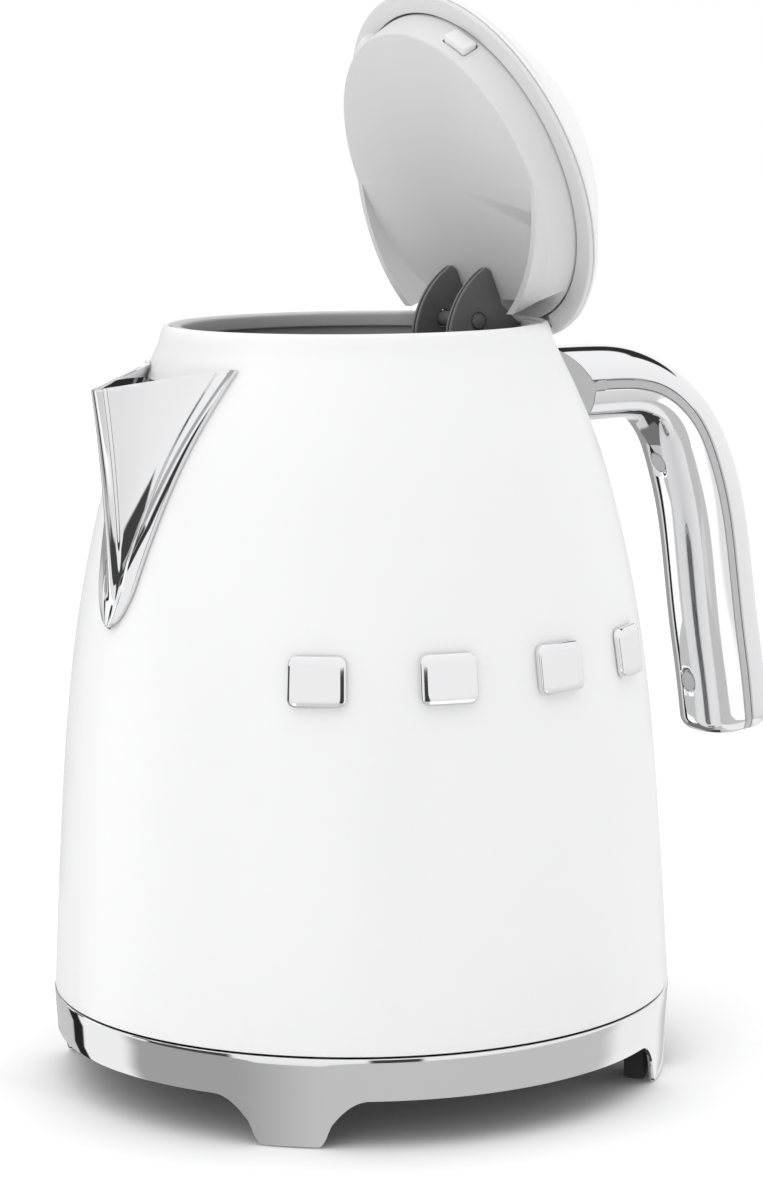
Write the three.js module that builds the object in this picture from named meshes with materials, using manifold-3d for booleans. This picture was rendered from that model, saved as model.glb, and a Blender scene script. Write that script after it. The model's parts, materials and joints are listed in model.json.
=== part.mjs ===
// A cordless electric kettle of about 1.7 litres: a round-shouldered steel jug with a V spout, a
// cantilever handle and a hinged dome lid that stands open, lifted off a ring base on four feet.
// Millimetres, +Z up. The spout points along -X, the handle along +X and the badges along -Y.
import * as THREE from "three";
import { mergeVertices } from "three/addons/utils/BufferGeometryUtils.js";
import Module from "manifold-3d";

const wasm = await Module();
wasm.setup();

// ---------- driving dimensions ----------
const AXIS_X = -27; // the jug's axis, placed so that ring and handle reach equally far from the origin
const CLEAR = 0.3; // gap kept between pieces that touch
const ROUND = 32; // facets of the large rounds
const SMALL = 12; // facets of the small rounds
const MIDDLE = 20; // facets of the connector and the button

const BASE = { ringR: 85.5, bandR: 84.2, footR: 83.4, topZ: 24, bandZ: 12.8, footZ: 0.4, wall: 1.5 };
const FOOT = { flatDeg: 4, spreadDeg: 13.8, padInner: 75, padOuter: 81.4, padHalfDeg: 4.6, padTop: 12.7 };
const FOOT_ANGLES = [45, 135, 225, 315];
const UNDERSIDE = { z: 13, thick: 1.8, radius: 81.6, wrapR: 42, wrapZ: 4 };
const DECK = { z: 20.4, thick: 2, radius: 82.8, flangeR: 81.6, flangeZ: 15.2, holeR: 16.6 };
const HUB = { radius: 16, z: 15.1, top: 31, ringsR: [6.6, 11], ringWidth: 1.2, grooveZ: 28, ringTop: 30.6 };
const HUB_PIN = { radius: 1.8, low: 15.1, high: 30 };
const GLAND = { halfWidth: 7, back: 72, front: 82.3, low: 3, boreZ: 7.4, boreR: 3.2 };
const SCREW = { headR: 3.2, headThick: 1.2, shankR: 1.5, drillR: 1.9 };
const BASE_SCREWS = { radius: 60, angles: [90, 210, 330], head: 11.4, tip: 19.8 };
const COVER_SCREWS = { radius: 70, angles: [30, 150, 270], head: 24.8, tip: 34 };

const JUG_Z = 24.7; // lower edge of the jug
const WALL = 1.3;
const JUG_WALL = [
  [85.3, JUG_Z], [84.2, 46], [82.1, 80], [79, 113], [75.5, 135.7], [71.3, 155],
  [64.8, 177], [58.4, 192], [53.8, 201.7],
];
const LIP = [[53.3, 204.4], [52.6, 206.1], [51.8, 206.75], [50.9, 206.3], [50.7, 205]];
const COLLAR = { innerR: 47.5, outerR: 50.1, top: 206.35, stepZ: 202.5, skirtR: 51, skirtZ: 196 };
const POCKET_HALF = 13.6; // half-width of the hinge pocket in the collar

const SPOUT = { top: 199, bottom: 129.8, bendZ: 140, cornerZ: 197.8, cornerHalf: 24.3, flare: 0.262 };
const SPOUT_RIDGE = { x: 77.1, z: 132, curl: 0.00114 };
const SPOUT_LIP = { tipX: -81.6, tipZ: 192, cornerX: -51, wall: 1.3 };
const MOUTH = [[-8, 148], [8, 148], [19, 193], [-19, 193]]; // opening behind the spout, as [y, z]

const HANDLE_HALF_WIDTH = 12.5;
// Centre line of the handle from its root on the jug to its free end: x, z and half-thickness.
const HANDLE_LINE = [
  [50, 186.4, 10.9], [76.5, 186.5, 10.9], [87, 186.1, 10.4], [95.4, 184.1, 9.4], [103, 179.5, 9.2],
  [109.4, 172.3, 10], [114, 163, 11], [117.7, 151.6, 11.5], [120.9, 134.3, 11.8],
  [123.7, 113.8, 12], [126.4, 96.8, 12], [127.7, 86, 12.1],
];
const HANDLE = { squareness: 2.5, shell: 2, bandHalf: 1.5, endZ: 81, flangeX: 76 };
const HANDLE_CAPS = [["upper", 101.8, 161.4], ["lower", 113.2, 96.4]];
const CAP = { radius: 3, seatR: 3.4, low: -0.9, high: 0.4 };

const HINGE = { x: 48, z: 199.9, openDeg: 67.9, pinR: 1.6, pinHalf: 13 };
const LID = { rimR: 51.7, rimZ: 208.7, domeR: 49.3, domeZ: 210.4, domeRise: 25.4, shell: 1.5, seam: 0.4 };
const TRIM = { innerR: 45.9, outerR: 51.5, z: 207.1, thick: 1.3, gapHalf: 16 };
const LINER = { faceR: 43.8, faceZ: 198.2, flangeR: 45.4, flangeZ: 206.8, wall: 1.8, chordX: 34.5 };
const WING = { z: 189.5, innerR: 41.8 };
const ARM = { y: 8.5, thick: 2.6, radius: 23.8, fromDeg: 187, toDeg: 250, bossR: 3.4 };
const CROSS_PIN = { x: 37, z: 189, radius: 2.2, half: 10.4 };
const BUTTON = { radius: 11, top: 236.5, edge: 235.2, stemR: 4, stemZ: 206, flangeR: 13, flangeZ: 230 };
const CATCH = { turnDeg: 31.5, width: 8.5, height: 4.6, z: 203.6, inner: 36, outer: 46.2 };

const BADGE = { width: 15, height: 13, thick: 1.8, z: 120.7, firstDeg: 230.2, stepDeg: 24.6, round: 2 };
const BADGE_COUNT = 4;
const GAUGE = { half: 5, low: 58, high: 128, rim: 3, lens: 1.3 };
const LEVER = { x: 79.5, z: 38, half: 7.5, slotHalf: 9, low: 31.5, high: 45.5, reach: 94 };
const BEZEL = { half: 12, low: 28.5, high: 48.5, thick: 1.6 };

const FLOOR_Z = 43.6;
const HEATER = { radius: 46, z: 40.1, thick: 3.2, ringR: 36, tube: 3.2, ringZ: 36.4, gapDeg: 50 };
const SOCKET = { radius: 23.7, recessR: 17, recessZ: 32.6, top: 36 };
const STEAM = { x: 40, y: 36, radius: 5, bore: 3.8, low: 36, high: 180 };
const BIMETAL = { radius: 8, low: 33, high: 34 };
const SEAL = { inner: 79.4, low: 45.1, high: 48 };
const FILTER = { low: 146, high: 190, lowHalf: 11, highHalf: 21, inner: -4.4, outer: -2.4 };
const FILTER_SLOTS = { rows: [151, 160.5, 170, 179.5], height: 6.5, rib: 1.2, reach: 5, widen: 2.6 };
const CONTROL = { radius: 27, halfWidth: 20 };
const COVER_Z = 26.2;

const MATERIALS = {
  whitePaint: [0xf4f4f2, 0.5, 0],
  chrome: [0xd8d9db, 0.08, 1],
  steel: [0xb9babc, 0.3, 1],
  greyPlastic: [0x9d9ea0, 0.45, 0],
  lightGrey: [0xd2d2d2, 0.5, 0],
  darkGrey: [0x55565a, 0.45, 0],
  whitePlastic: [0xf0f0ee, 0.4, 0],
  blackPlastic: [0x26272a, 0.5, 0],
  rubber: [0x2b2b2d, 0.8, 0],
  clear: [0xbfd0d6, 0.1, 0],
  aluminium: [0xa9abae, 0.45, 1],
  brass: [0xc2a25a, 0.35, 1],
};

// ---------- small tools ----------
const rad = THREE.MathUtils.degToRad;
const mix = THREE.MathUtils.lerp;

// A closed geometry as a manifold-3d solid.
function solid(geometry) {
  const bare = new THREE.BufferGeometry().setAttribute("position", geometry.getAttribute("position"));
  bare.setIndex(geometry.index);
  const merged = mergeVertices(bare, 1e-4);
  const index = merged.index.array;
  const kept = [];
  for (let i = 0; i < index.length; i += 3) {
    const [a, b, c] = index.slice(i, i + 3);
    if (a !== b && b !== c && c !== a) kept.push(a, b, c);
  }
  return new wasm.Manifold(
    new wasm.Mesh({
      numProp: 3,
      vertProperties: new Float32Array(merged.attributes.position.array),
      triVerts: new Uint32Array(kept),
    }),
  );
}

// A manifold-3d solid as a three.js geometry.
function shapeOf(body) {
  const mesh = body.getMesh();
  const positions = new Float32Array(mesh.numVert * 3);
  for (let i = 0; i < mesh.numVert; i++) {
    const from = i * mesh.numProp;
    positions.set(mesh.vertProperties.subarray(from, from + 3), i * 3);
  }
  const geometry = new THREE.BufferGeometry();
  geometry.setAttribute("position", new THREE.BufferAttribute(positions, 3));
  geometry.setIndex(new THREE.BufferAttribute(mesh.triVerts, 1));
  geometry.computeVertexNormals();
  return geometry;
}

// A solid of revolution about Z; the profile of [radius, z] points runs anticlockwise.
function turned(profile, facets = ROUND) {
  const points = profile.map(([r, z]) => new THREE.Vector2(r, z));
  return solid(new THREE.LatheGeometry(points, facets).rotateX(Math.PI / 2));
}

// A closed ring of revolution: the profile is completed back to its first point.
const ring = (profile, facets = ROUND) => turned([...profile, profile[0]], facets);

// A rectangular ring or, with an inner radius of 0, a disc.
function band(inner, outer, low, high, facets = ROUND) {
  if (inner === 0) return turned([[0, low], [outer, low], [outer, high], [0, high]], facets);
  return ring([[inner, low], [outer, low], [outer, high], [inner, high]], facets);
}

function box(x, y, z) {
  const size = [x[1] - x[0], y[1] - y[0], z[1] - z[0]];
  const geometry = new THREE.BoxGeometry(...size);
  return solid(geometry.translate((x[0] + x[1]) / 2, (y[0] + y[1]) / 2, (z[0] + z[1]) / 2));
}

// An outline of [x, z] points extruded along Y, centred on y.
function slabAlongY(outline, y, thick) {
  const shape = new THREE.Shape(outline.map(([a, b]) => new THREE.Vector2(a, b)));
  const geometry = new THREE.ExtrudeGeometry(shape, { depth: thick, bevelEnabled: false });
  return solid(geometry.rotateX(Math.PI / 2).translate(0, y + thick / 2, 0));
}

// An outline of [y, z] points extruded along X from x low to x high.
function prismAlongX(outline, low, high) {
  const shape = new THREE.Shape(outline.map(([a, b]) => new THREE.Vector2(a, b)));
  const geometry = new THREE.ExtrudeGeometry(shape, { depth: high - low, bevelEnabled: false });
  return solid(geometry.rotateX(Math.PI / 2).rotateZ(Math.PI / 2).translate(low, 0, 0));
}

// A round bar between two points.
function bar(from, to, radius, facets = SMALL) {
  const start = new THREE.Vector3(...from);
  const along = new THREE.Vector3(...to).sub(start);
  const geometry = new THREE.CylinderGeometry(radius, radius, along.length(), facets);
  geometry.translate(0, along.length() / 2, 0);
  const turn = new THREE.Quaternion().setFromUnitVectors(
    new THREE.Vector3(0, 1, 0),
    along.clone().normalize(),
  );
  return solid(geometry.applyQuaternion(turn).translate(...from));
}

// A closed skin over rings of points, each ring closed and with the same number of points.
function loft(rings) {
  const count = rings[0].length;
  const points = rings.flat();
  const index = [];
  for (let i = 0; i < rings.length - 1; i++) {
    for (let j = 0; j < count; j++) {
      const a = i * count + j;
      const b = i * count + ((j + 1) % count);
      index.push(a, b, a + count, b, b + count, a + count);
    }
  }
  [0, rings.length - 1].forEach((i) => {
    const middle = rings[i].reduce((sum, p) => sum.add(p), new THREE.Vector3());
    points.push(middle.divideScalar(count));
    for (let j = 0; j < count; j++) {
      const a = i * count + j;
      const b = i * count + ((j + 1) % count);
      index.push(points.length - 1, ...(i === 0 ? [b, a] : [a, b]));
    }
  });
  const geometry = new THREE.BufferGeometry().setFromPoints(points);
  return solid(geometry.setIndex(index));
}

// A wire wound about Z, one turn in the given number of steps.
function coil({ radius, wire, turns, low, high, steps = 10 }) {
  const points = [];
  for (let i = 0; i <= turns * steps; i++) {
    const turn = (2 * Math.PI * i) / steps;
    const z = mix(low, high, i / (turns * steps));
    points.push(new THREE.Vector3(radius * Math.cos(turn), radius * Math.sin(turn), z));
  }
  return wireAlong(points, wire, turns * steps);
}

function wireAlong(points, radius, steps) {
  const circle = new THREE.EllipseCurve(0, 0, radius, radius);
  const section = new THREE.Shape(circle.getPoints(6).slice(0, 6));
  const extrudePath = new THREE.CatmullRomCurve3(points);
  return new THREE.ExtrudeGeometry(section, { steps, extrudePath });
}

// The largest of a solid's separate bodies, which drops slivers left by a cut.
const largest = (body) => body.decompose().sort((a, b) => b.volume() - a.volume())[0];

// ---------- the jug's outer surface ----------
const WALL_SPLINE = new THREE.SplineCurve(JUG_WALL.map(([r, z]) => new THREE.Vector2(r, z)));
const WALL_POINTS = WALL_SPLINE.getPoints(9);

function jugRadius(z) {
  const next = WALL_POINTS.findIndex((p) => p.y >= z);
  if (next <= 0) return WALL_POINTS.at(next).x;
  const [below, above] = [WALL_POINTS[next - 1], WALL_POINTS[next]];
  return mix(below.x, above.x, (z - below.y) / (above.y - below.y));
}

// A layer that follows the jug's wall between two heights, from offset inner to offset outer.
function wallLayer(low, high, inner, outer) {
  const between = WALL_POINTS.map((p) => p.y).filter((z) => z > low + 1 && z < high - 1);
  const heights = [low, ...between, high];
  const outside = heights.map((z) => [jugRadius(z) + outer, z]);
  const inside = heights.map((z) => [jugRadius(z) + inner, z]).reverse();
  return ring([...outside, ...inside]);
}

// A slot outline with round ends along z, as [y, z] points.
function slotOutline(half, low, high) {
  const ends = [[high - half, 0], [low + half, Math.PI]];
  return ends.flatMap(([z, start]) =>
    [0, 1, 2, 3, 4].map((i) => {
      const angle = start + (i * Math.PI) / 4;
      return [half * Math.cos(angle), z + half * Math.sin(angle)];
    }),
  );
}

// ---------- base ----------
// Height of the ring's lower edge at an angle: it drops from the band to the four feet.
function skirtEdge(angleDeg) {
  const gaps = FOOT_ANGLES.map((foot) => Math.abs(((angleDeg - foot + 540) % 360) - 180));
  const away = Math.min(...gaps);
  const rise = THREE.MathUtils.smoothstep(away, FOOT.flatDeg, FOOT.spreadDeg);
  return mix(BASE.footZ, BASE.bandZ, rise);
}

function ringRadius(z) {
  const { footR, bandR, ringR, bandZ, topZ } = BASE;
  if (z > bandZ) return mix(bandR, ringR, (z - bandZ) / (topZ - bandZ));
  return mix(footR, bandR, z / bandZ);
}

// Columns of the ring about each foot, closer together where its edge curves.
const RING_STEPS = [-45, -36, -29, -21, -13.8, -11, -9, -7, -4, 0, 4, 7, 9, 11, 13.8, 21, 29, 36];

function baseRing() {
  const spots = FOOT_ANGLES.flatMap((foot) => RING_STEPS.map((step) => foot + step));
  const columns = spots.map((angle) => {
    const heights = [BASE.topZ, BASE.bandZ + 0.5, skirtEdge(angle)];
    const outside = heights.map((z) => [ringRadius(z), z]);
    const inside = heights.map((z) => [ringRadius(z) - BASE.wall, z]).reverse();
    const [c, s] = [Math.cos(rad(angle)), Math.sin(rad(angle))];
    return [...outside, ...inside].map(([r, z]) => new THREE.Vector3(r * c, r * s, z));
  });
  const count = columns[0].length;
  const index = [];
  columns.forEach((_, i) => {
    const here = i * count;
    const there = ((i + 1) % columns.length) * count;
    for (let j = 0; j < count; j++) {
      const k = (j + 1) % count;
      index.push(here + j, here + k, there + j, here + k, there + k, there + j);
    }
  });
  return solid(new THREE.BufferGeometry().setFromPoints(columns.flat()).setIndex(index));
}

function footPad(angleDeg) {
  const corners = [[FOOT.padInner, -1], [FOOT.padOuter, -1], [FOOT.padOuter, 1], [FOOT.padInner, 1]];
  const shape = new THREE.Shape(
    corners.map(([r, side]) => {
      const angle = rad(angleDeg + side * FOOT.padHalfDeg);
      return new THREE.Vector2(r * Math.cos(angle), r * Math.sin(angle));
    }),
  );
  return solid(new THREE.ExtrudeGeometry(shape, { depth: FOOT.padTop, bevelEnabled: false }));
}

function baseDeck() {
  const { z, thick, radius, flangeR, flangeZ, holeR } = DECK;
  return ring([
    [holeR, z], [flangeR - 1.6, z], [flangeR - 1.6, flangeZ], [flangeR, flangeZ],
    [flangeR, z], [radius, z + 0.6], [radius, z + thick], [holeR, z + thick],
  ]);
}

const spotsOf = ({ radius, angles }) =>
  angles.map((deg) => [radius * Math.cos(rad(deg)), radius * Math.sin(rad(deg))]);

// A plate with a clearance hole for each screw.
function drilled(plate, screws, low, high) {
  return spotsOf(screws).reduce(
    (rest, [x, y]) => rest.subtract(bar([x, y, low], [x, y, high], SCREW.drillR)),
    plate,
  );
}

function baseUnderside() {
  const { z, thick, radius, wrapR, wrapZ } = UNDERSIDE;
  const plate = ring([
    [14, z], [wrapR, z], [wrapR, wrapZ], [wrapR + 1.6, wrapZ], [wrapR + 1.6, z],
    [radius, z], [radius, z + thick], [14, z + thick],
  ]);
  return drilled(plate, BASE_SCREWS, z - 1, z + thick + 1);
}

function screw([x, y], head, tip) {
  const { headR, headThick, shankR } = SCREW;
  const neck = head + headThick;
  const profile = [[0, head], [headR, head], [headR, neck], [shankR, neck], [shankR, tip], [0, tip]];
  return turned(profile, SMALL).translate([x, y, 0]);
}

function cordGland() {
  const { halfWidth, back, front, low, boreZ, boreR } = GLAND;
  const block = box([-halfWidth, halfWidth], [back, front], [low, UNDERSIDE.z - CLEAR]);
  return block.subtract(bar([0, back - 12, boreZ], [0, front + 12, boreZ], boreR));
}

function hub() {
  const { radius, z, top, ringsR, ringWidth, grooveZ } = HUB;
  const pinR = HUB_PIN.radius;
  const gap = ringWidth / 2 + CLEAR;
  const [inner, outer] = ringsR;
  return ring([
    [pinR + CLEAR, z], [radius + 4, z], [radius + 4, z + 2], [radius, z + 2], [radius, top],
    [outer + gap, top], [outer + gap, grooveZ], [outer - gap, grooveZ], [outer - gap, top],
    [inner + gap, top], [inner + gap, grooveZ], [inner - gap, grooveZ], [inner - gap, top],
    [pinR + CLEAR, top],
  ], MIDDLE);
}

// ---------- jug ----------
function spoutHalf(z) {
  if (z >= SPOUT.bendZ) return SPOUT.cornerHalf - SPOUT.flare * (SPOUT.cornerZ - z);
  return spoutHalf(SPOUT.bendZ) * Math.sqrt((z - SPOUT.bottom) / (SPOUT.bendZ - SPOUT.bottom));
}

const spoutRidge = (z) => -(SPOUT_RIDGE.x + SPOUT_RIDGE.curl * (z - SPOUT_RIDGE.z) ** 2);

// One level ring of the spout: straight flanks from a round nose, flaring where they meet the jug.
function spoutRing(z, inset) {
  const half = Math.max(spoutHalf(z) - inset, 0.2);
  const foot = -Math.sqrt(jugRadius(z) ** 2 - half ** 2);
  const depth = foot - (spoutRidge(z) + inset * 1.3);
  const flank = [[0, 1], [0.1, 0.86], [0.26, 0.72], [0.6, 0.42], [0.86, 0.18], [0.97, 0.07]];
  const side = flank.map(([d, w]) => [foot - depth * d, half * w]);
  const back = [foot + 9, half];
  const left = [back, ...side];
  const right = left.map(([x, y]) => [x, -y]).reverse();
  return [...left, [foot - depth, 0], ...right].map(([x, y]) => new THREE.Vector3(x, y, z));
}

function spoutSolid(inset, low, high) {
  const heights = [];
  for (let i = 0; i <= 9; i++) heights.push(mix(low, high, (i / 9) ** 1.35));
  return loft(heights.map((z) => spoutRing(z, inset)));
}

// Everything above the spout's sloping lip.
function aboveLip() {
  const { tipX, tipZ, cornerX } = SPOUT_LIP;
  const slope = (SPOUT.cornerZ - tipZ) / (cornerX - tipX);
  const outline = [
    [tipX - 20, tipZ - 20 * slope], [-30, tipZ + slope * (-30 - tipX)], [-30, 240], [tipX - 20, 240],
  ];
  return slabAlongY(outline, 0, 90);
}

function spout() {
  const inside = spoutSolid(SPOUT_LIP.wall, 141, SPOUT.top + 2);
  const shell = spoutSolid(0, SPOUT.bottom + 0.4, SPOUT.top).subtract(inside).subtract(aboveLip());
  const profile = [[0, 20], [jugRadius(20) + CLEAR, 20], ...WALL_POINTS.map((p) => [p.x + CLEAR, p.y])];
  return shell.subtract(turned([...profile, [0, WALL_POINTS.at(-1).y]]));
}

function bodyShell() {
  const outside = WALL_POINTS.map((p) => [p.x, p.y]);
  const inside = outside.map(([r, z]) => [r - WALL, z]).reverse();
  const mouth = prismAlongX(MOUTH, -95, -30);
  const gauge = prismAlongX(slotOutline(GAUGE.half, GAUGE.low, GAUGE.high), 60, 95);
  const lever = box([70, 95], [-LEVER.slotHalf, LEVER.slotHalf], [LEVER.low, LEVER.high]);
  return ring([...outside, ...LIP, ...inside]).subtract(mouth).subtract(gauge).subtract(lever);
}

function neckCollar() {
  const { innerR, outerR, top, stepZ, skirtR, skirtZ } = COLLAR;
  const whole = ring([
    [skirtR - 1.6, skirtZ], [skirtR, skirtZ], [skirtR, stepZ - 1], [outerR, stepZ + 1],
    [outerR, top - 0.4], [outerR - 0.4, top], [innerR + 0.5, top], [innerR, top - 0.6],
    [innerR, stepZ], [skirtR - 1.6, stepZ],
  ]);
  return whole.subtract(box([38, 60], [-POCKET_HALF, POCKET_HALF], [190, 210]));
}

function hingeBracket() {
  const cheek = [
    [44.6, 196.5], [50, 184], [53.8, 184], [53.8, 194], [51.2, 199.4], [49.6, 202.3], [45.2, 202.9],
  ];
  const cheeks = [-1, 1].map((side) => slabAlongY(cheek, side * 11.4, 2.2));
  const back = box([52.2, 53.8], [-11, 11], [184, 193.5]);
  const bore = bar([HINGE.x, -20, HINGE.z], [HINGE.x, 20, HINGE.z], HINGE.pinR + CLEAR);
  return cheeks[0].add(cheeks[1]).add(back).subtract(bore);
}

function lidSpring() {
  const wound = coil({ radius: 3.2, wire: 0.5, turns: 4, low: -5, high: 5, steps: 8 });
  return solid(wound.rotateX(Math.PI / 2).translate(HINGE.x, 0, HINGE.z));
}

// ---------- handle ----------
const HANDLE_SPOTS = HANDLE_LINE.map(([x, z]) => new THREE.Vector3(x, 0, z));
const HANDLE_CURVE = new THREE.CatmullRomCurve3(HANDLE_SPOTS);
const HANDLE_STEPS = 12;

// A section of the handle at t: its centre, the way out of the bend, and the half-thickness there.
function handleStation(t) {
  const centre = HANDLE_CURVE.getPoint(t);
  const along = HANDLE_CURVE.getTangent(t);
  const place = Math.min(t * (HANDLE_LINE.length - 1), HANDLE_LINE.length - 1.001);
  const i = Math.floor(place);
  const half = mix(HANDLE_LINE[i][2], HANDLE_LINE[i + 1][2], place - i);
  return { centre, along, out: new THREE.Vector3(-along.z, 0, along.x), half };
}

// A ring of the handle's rounded section; shrink pulls it in, and scale closes it at the free end.
function handleRing({ centre, out, half }, shrink, scale = 1) {
  const facets = 16;
  const points = [];
  for (let i = 0; i < facets; i++) {
    const angle = (2 * Math.PI * (i + 0.5)) / facets;
    const power = (v) => Math.sign(v) * Math.abs(v) ** (2 / HANDLE.squareness);
    const y = power(Math.cos(angle)) * (HANDLE_HALF_WIDTH - shrink) * scale;
    const n = power(Math.sin(angle)) * (half - shrink) * scale;
    points.push(centre.clone().addScaledVector(out, n).add(new THREE.Vector3(0, y, 0)));
  }
  return points;
}

function handleSolid(shrink) {
  const rings = [];
  for (let i = 0; i <= HANDLE_STEPS; i++) {
    rings.push(handleRing(handleStation(i / HANDLE_STEPS), shrink));
  }
  const end = handleStation(1);
  const reach = end.centre.z - HANDLE.endZ - shrink;
  [[0.55, 0.96], [0.9, 0.86], [1, 0.74]].forEach(([step, scale]) => {
    const centre = end.centre.clone().addScaledVector(end.along, reach * step);
    rings.push(handleRing({ ...end, centre }, shrink, scale));
  });
  return loft(rings);
}

// A slab that follows the handle, between two distances out from its centre line.
function handleSlab(low, high) {
  const rings = [];
  for (let i = 0; i <= HANDLE_STEPS; i++) {
    const { centre, out } = handleStation(i / HANDLE_STEPS);
    rings.push(slabRing(centre, out, low, high));
  }
  const end = handleStation(1);
  const past = end.centre.clone().addScaledVector(end.along, 40);
  rings.push(slabRing(past, end.out, low, high));
  return loft(rings);
}

function slabRing(centre, out, low, high) {
  const corners = [[1, low], [1, high], [-1, high], [-1, low]];
  return corners.map(([side, n]) =>
    centre.clone().addScaledVector(out, n).add(new THREE.Vector3(0, side * 20, 0)),
  );
}

const jugKeepOut = () =>
  turned([[0, 150], [jugRadius(150) + CLEAR, 150], ...keepOutWall(150, 201), [0, 201]]);

function keepOutWall(low, high) {
  const between = WALL_POINTS.filter((p) => p.y > low && p.y < high);
  return [...between.map((p) => [p.x + CLEAR, p.y]), [jugRadius(high) + CLEAR, high]];
}

const innerPoint = ({ centre, out, half }) => centre.clone().addScaledVector(out, -half);

// The place on the handle's inner face nearest to a point, and the direction out of that face.
function innerFace(x, z) {
  const target = new THREE.Vector3(x, 0, z);
  const gap = (station) => innerPoint(station).distanceTo(target);
  let best = handleStation(0);
  for (let i = 1; i <= 200; i++) {
    const here = handleStation(i / 200);
    if (gap(here) < gap(best)) best = here;
  }
  return { face: innerPoint(best), inward: best.out.clone().negate() };
}

function barAt({ face, inward }, from, to, radius) {
  const start = face.clone().addScaledVector(inward, from);
  const end = face.clone().addScaledVector(inward, to);
  return bar(start.toArray(), end.toArray(), radius, SMALL);
}

function handlePieces() {
  const { shell, bandHalf } = HANDLE;
  const jug = jugKeepOut();
  const cut = flangeBlock(CLEAR).add(jug);
  const shells = handleSolid(0).subtract(handleSolid(shell));
  const seats = HANDLE_CAPS.map(([name, x, z]) => [name, innerFace(x, z)]);
  const drill = (piece, from, to, radius) =>
    seats.reduce((rest, [, seat]) => rest.subtract(barAt(seat, from, to, radius)), piece);
  const outer = shells.intersect(handleSlab(bandHalf, 30)).subtract(cut);
  const innerBlank = shells.intersect(handleSlab(-30, -bandHalf)).subtract(cut);
  const inner = drill(drill(innerBlank, -5, -1.2, SCREW.drillR), -1.2, 3, CAP.seatR);
  const stripe = handleSolid(0.2).intersect(handleSlab(CLEAR - bandHalf, bandHalf - CLEAR));
  const filling = handleSolid(shell + CLEAR);
  const coreBlank = filling.add(stripe).add(flangeBlock()).subtract(jug);
  const core = drill(coreBlank, -13, 0, SCREW.drillR);
  const caps = seats.map(([name, seat]) => [name, barAt(seat, CAP.low, CAP.high, CAP.radius)]);
  const screws = seats.map(([name, seat]) => [name, barAt(seat, -12, -1.5, SCREW.shankR)]);
  return { outer: largest(outer), inner: largest(inner), core: largest(core), caps, screws };
}

// The grey block that carries the handle: as wide as the handle and cut back with its lower shell.
function flangeBlock(grow = 0) {
  const outline = [
    [50, 170], [HANDLE.flangeX + grow, 170], [HANDLE.flangeX + grow, 185 + grow],
    [62.5 + grow, 200], [50, 200],
  ];
  const start = [0, 0.06, 0.12, 0.2].map((t) => handleRing(handleStation(t), 0.2 - grow));
  return loft(start).intersect(slabAlongY(outline, 0, 60));
}

// ---------- lid, built closed about the jug's axis ----------
const domePoint = (deg, inset) => [
  Math.max((LID.domeR - inset) * Math.cos(rad(deg)) ** 0.96, 0),
  LID.domeZ + (LID.domeRise - inset) * Math.sin(rad(deg)) ** 1.81,
];

function lidDome() {
  const angles = [8, 22, 37, 52, 66];
  const open = BUTTON.radius + LID.seam;
  const outside = angles.map((deg) => domePoint(deg, 0));
  const inside = angles.map((deg) => domePoint(deg, LID.shell)).reverse();
  return ring([
    [LID.rimR - 2.6, LID.rimZ], [LID.rimR - 0.3, LID.rimZ], [LID.rimR, LID.rimZ + 0.5],
    [LID.domeR + 0.6, 210.6], ...outside, [open, 234.9], [open, 233.4], ...inside,
  ]);
}

function trimRing() {
  const whole = band(TRIM.innerR, TRIM.outerR, TRIM.z, TRIM.z + TRIM.thick);
  return whole.subtract(box([30, 60], [-TRIM.gapHalf, TRIM.gapHalf], [200, 215]));
}

function lidLiner() {
  const { faceR, faceZ, flangeR, flangeZ, wall, chordX } = LINER;
  const web = { low: 207.1, high: 208.3 };
  const drum = turned([
    [0, faceZ], [faceR, faceZ], [flangeR, flangeZ], [flangeR, web.high], [0, web.high],
  ]);
  const rootZ = faceZ + 0.5;
  const skirt = band(WING.innerR, faceR, 186, rootZ);
  const wedge = slabAlongY([[0, rootZ], [0, faceZ], [chordX, WING.z], [chordX, rootZ]], 0, 120);
  const inner = faceZ + wall;
  const bowl = turned([
    [0, inner], [faceR - wall, inner], [flangeR - wall, flangeZ], [flangeR - wall, 215], [0, 215],
  ]);
  const hollow = bowl.intersect(box([-60, chordX - wall], [-60, 60], [190, 220]));
  const behind = box([chordX, 60], [-60, 60], [180, web.low]);
  const sleeve = band(BUTTON.stemR + 0.5, BUTTON.stemR + 2, inner - 0.5, 213, SMALL);
  const clearance = bar([HINGE.x, -17, HINGE.z], [HINGE.x, 17, HINGE.z], 8.4, 24);
  const windows = [-1, 1].map((side) => catchBlock(side, 0.4, 30, 50));
  const cup = drum.subtract(hollow).add(skirt.intersect(wedge)).subtract(behind).subtract(clearance);
  return cup.add(sleeve).subtract(windows[0]).subtract(windows[1]);
}

function lidArm(side) {
  const { radius, fromDeg, toDeg, bossR, thick, y } = ARM;
  const at = (deg, r) => [HINGE.x + r * Math.cos(rad(deg)), HINGE.z + r * Math.sin(rad(deg))];
  const rim = [0, 1, 2, 3, 4, 5].map((i) => at(mix(fromDeg, toDeg, i / 5), radius));
  const boss = [-20, 25, 70, 115].map((deg) => at(deg, bossR));
  const outline = [...rim, ...boss, [36, LINER.faceZ - CLEAR], [26, LINER.faceZ - CLEAR]];
  const bores = [[HINGE.x, HINGE.z, HINGE.pinR], [CROSS_PIN.x, CROSS_PIN.z, CROSS_PIN.radius]];
  const plate = slabAlongY(outline, side * y, thick);
  return bores.reduce(
    (rest, [x, z, r]) => rest.subtract(bar([x, -20, z], [x, 20, z], r + CLEAR)),
    plate,
  );
}

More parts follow.
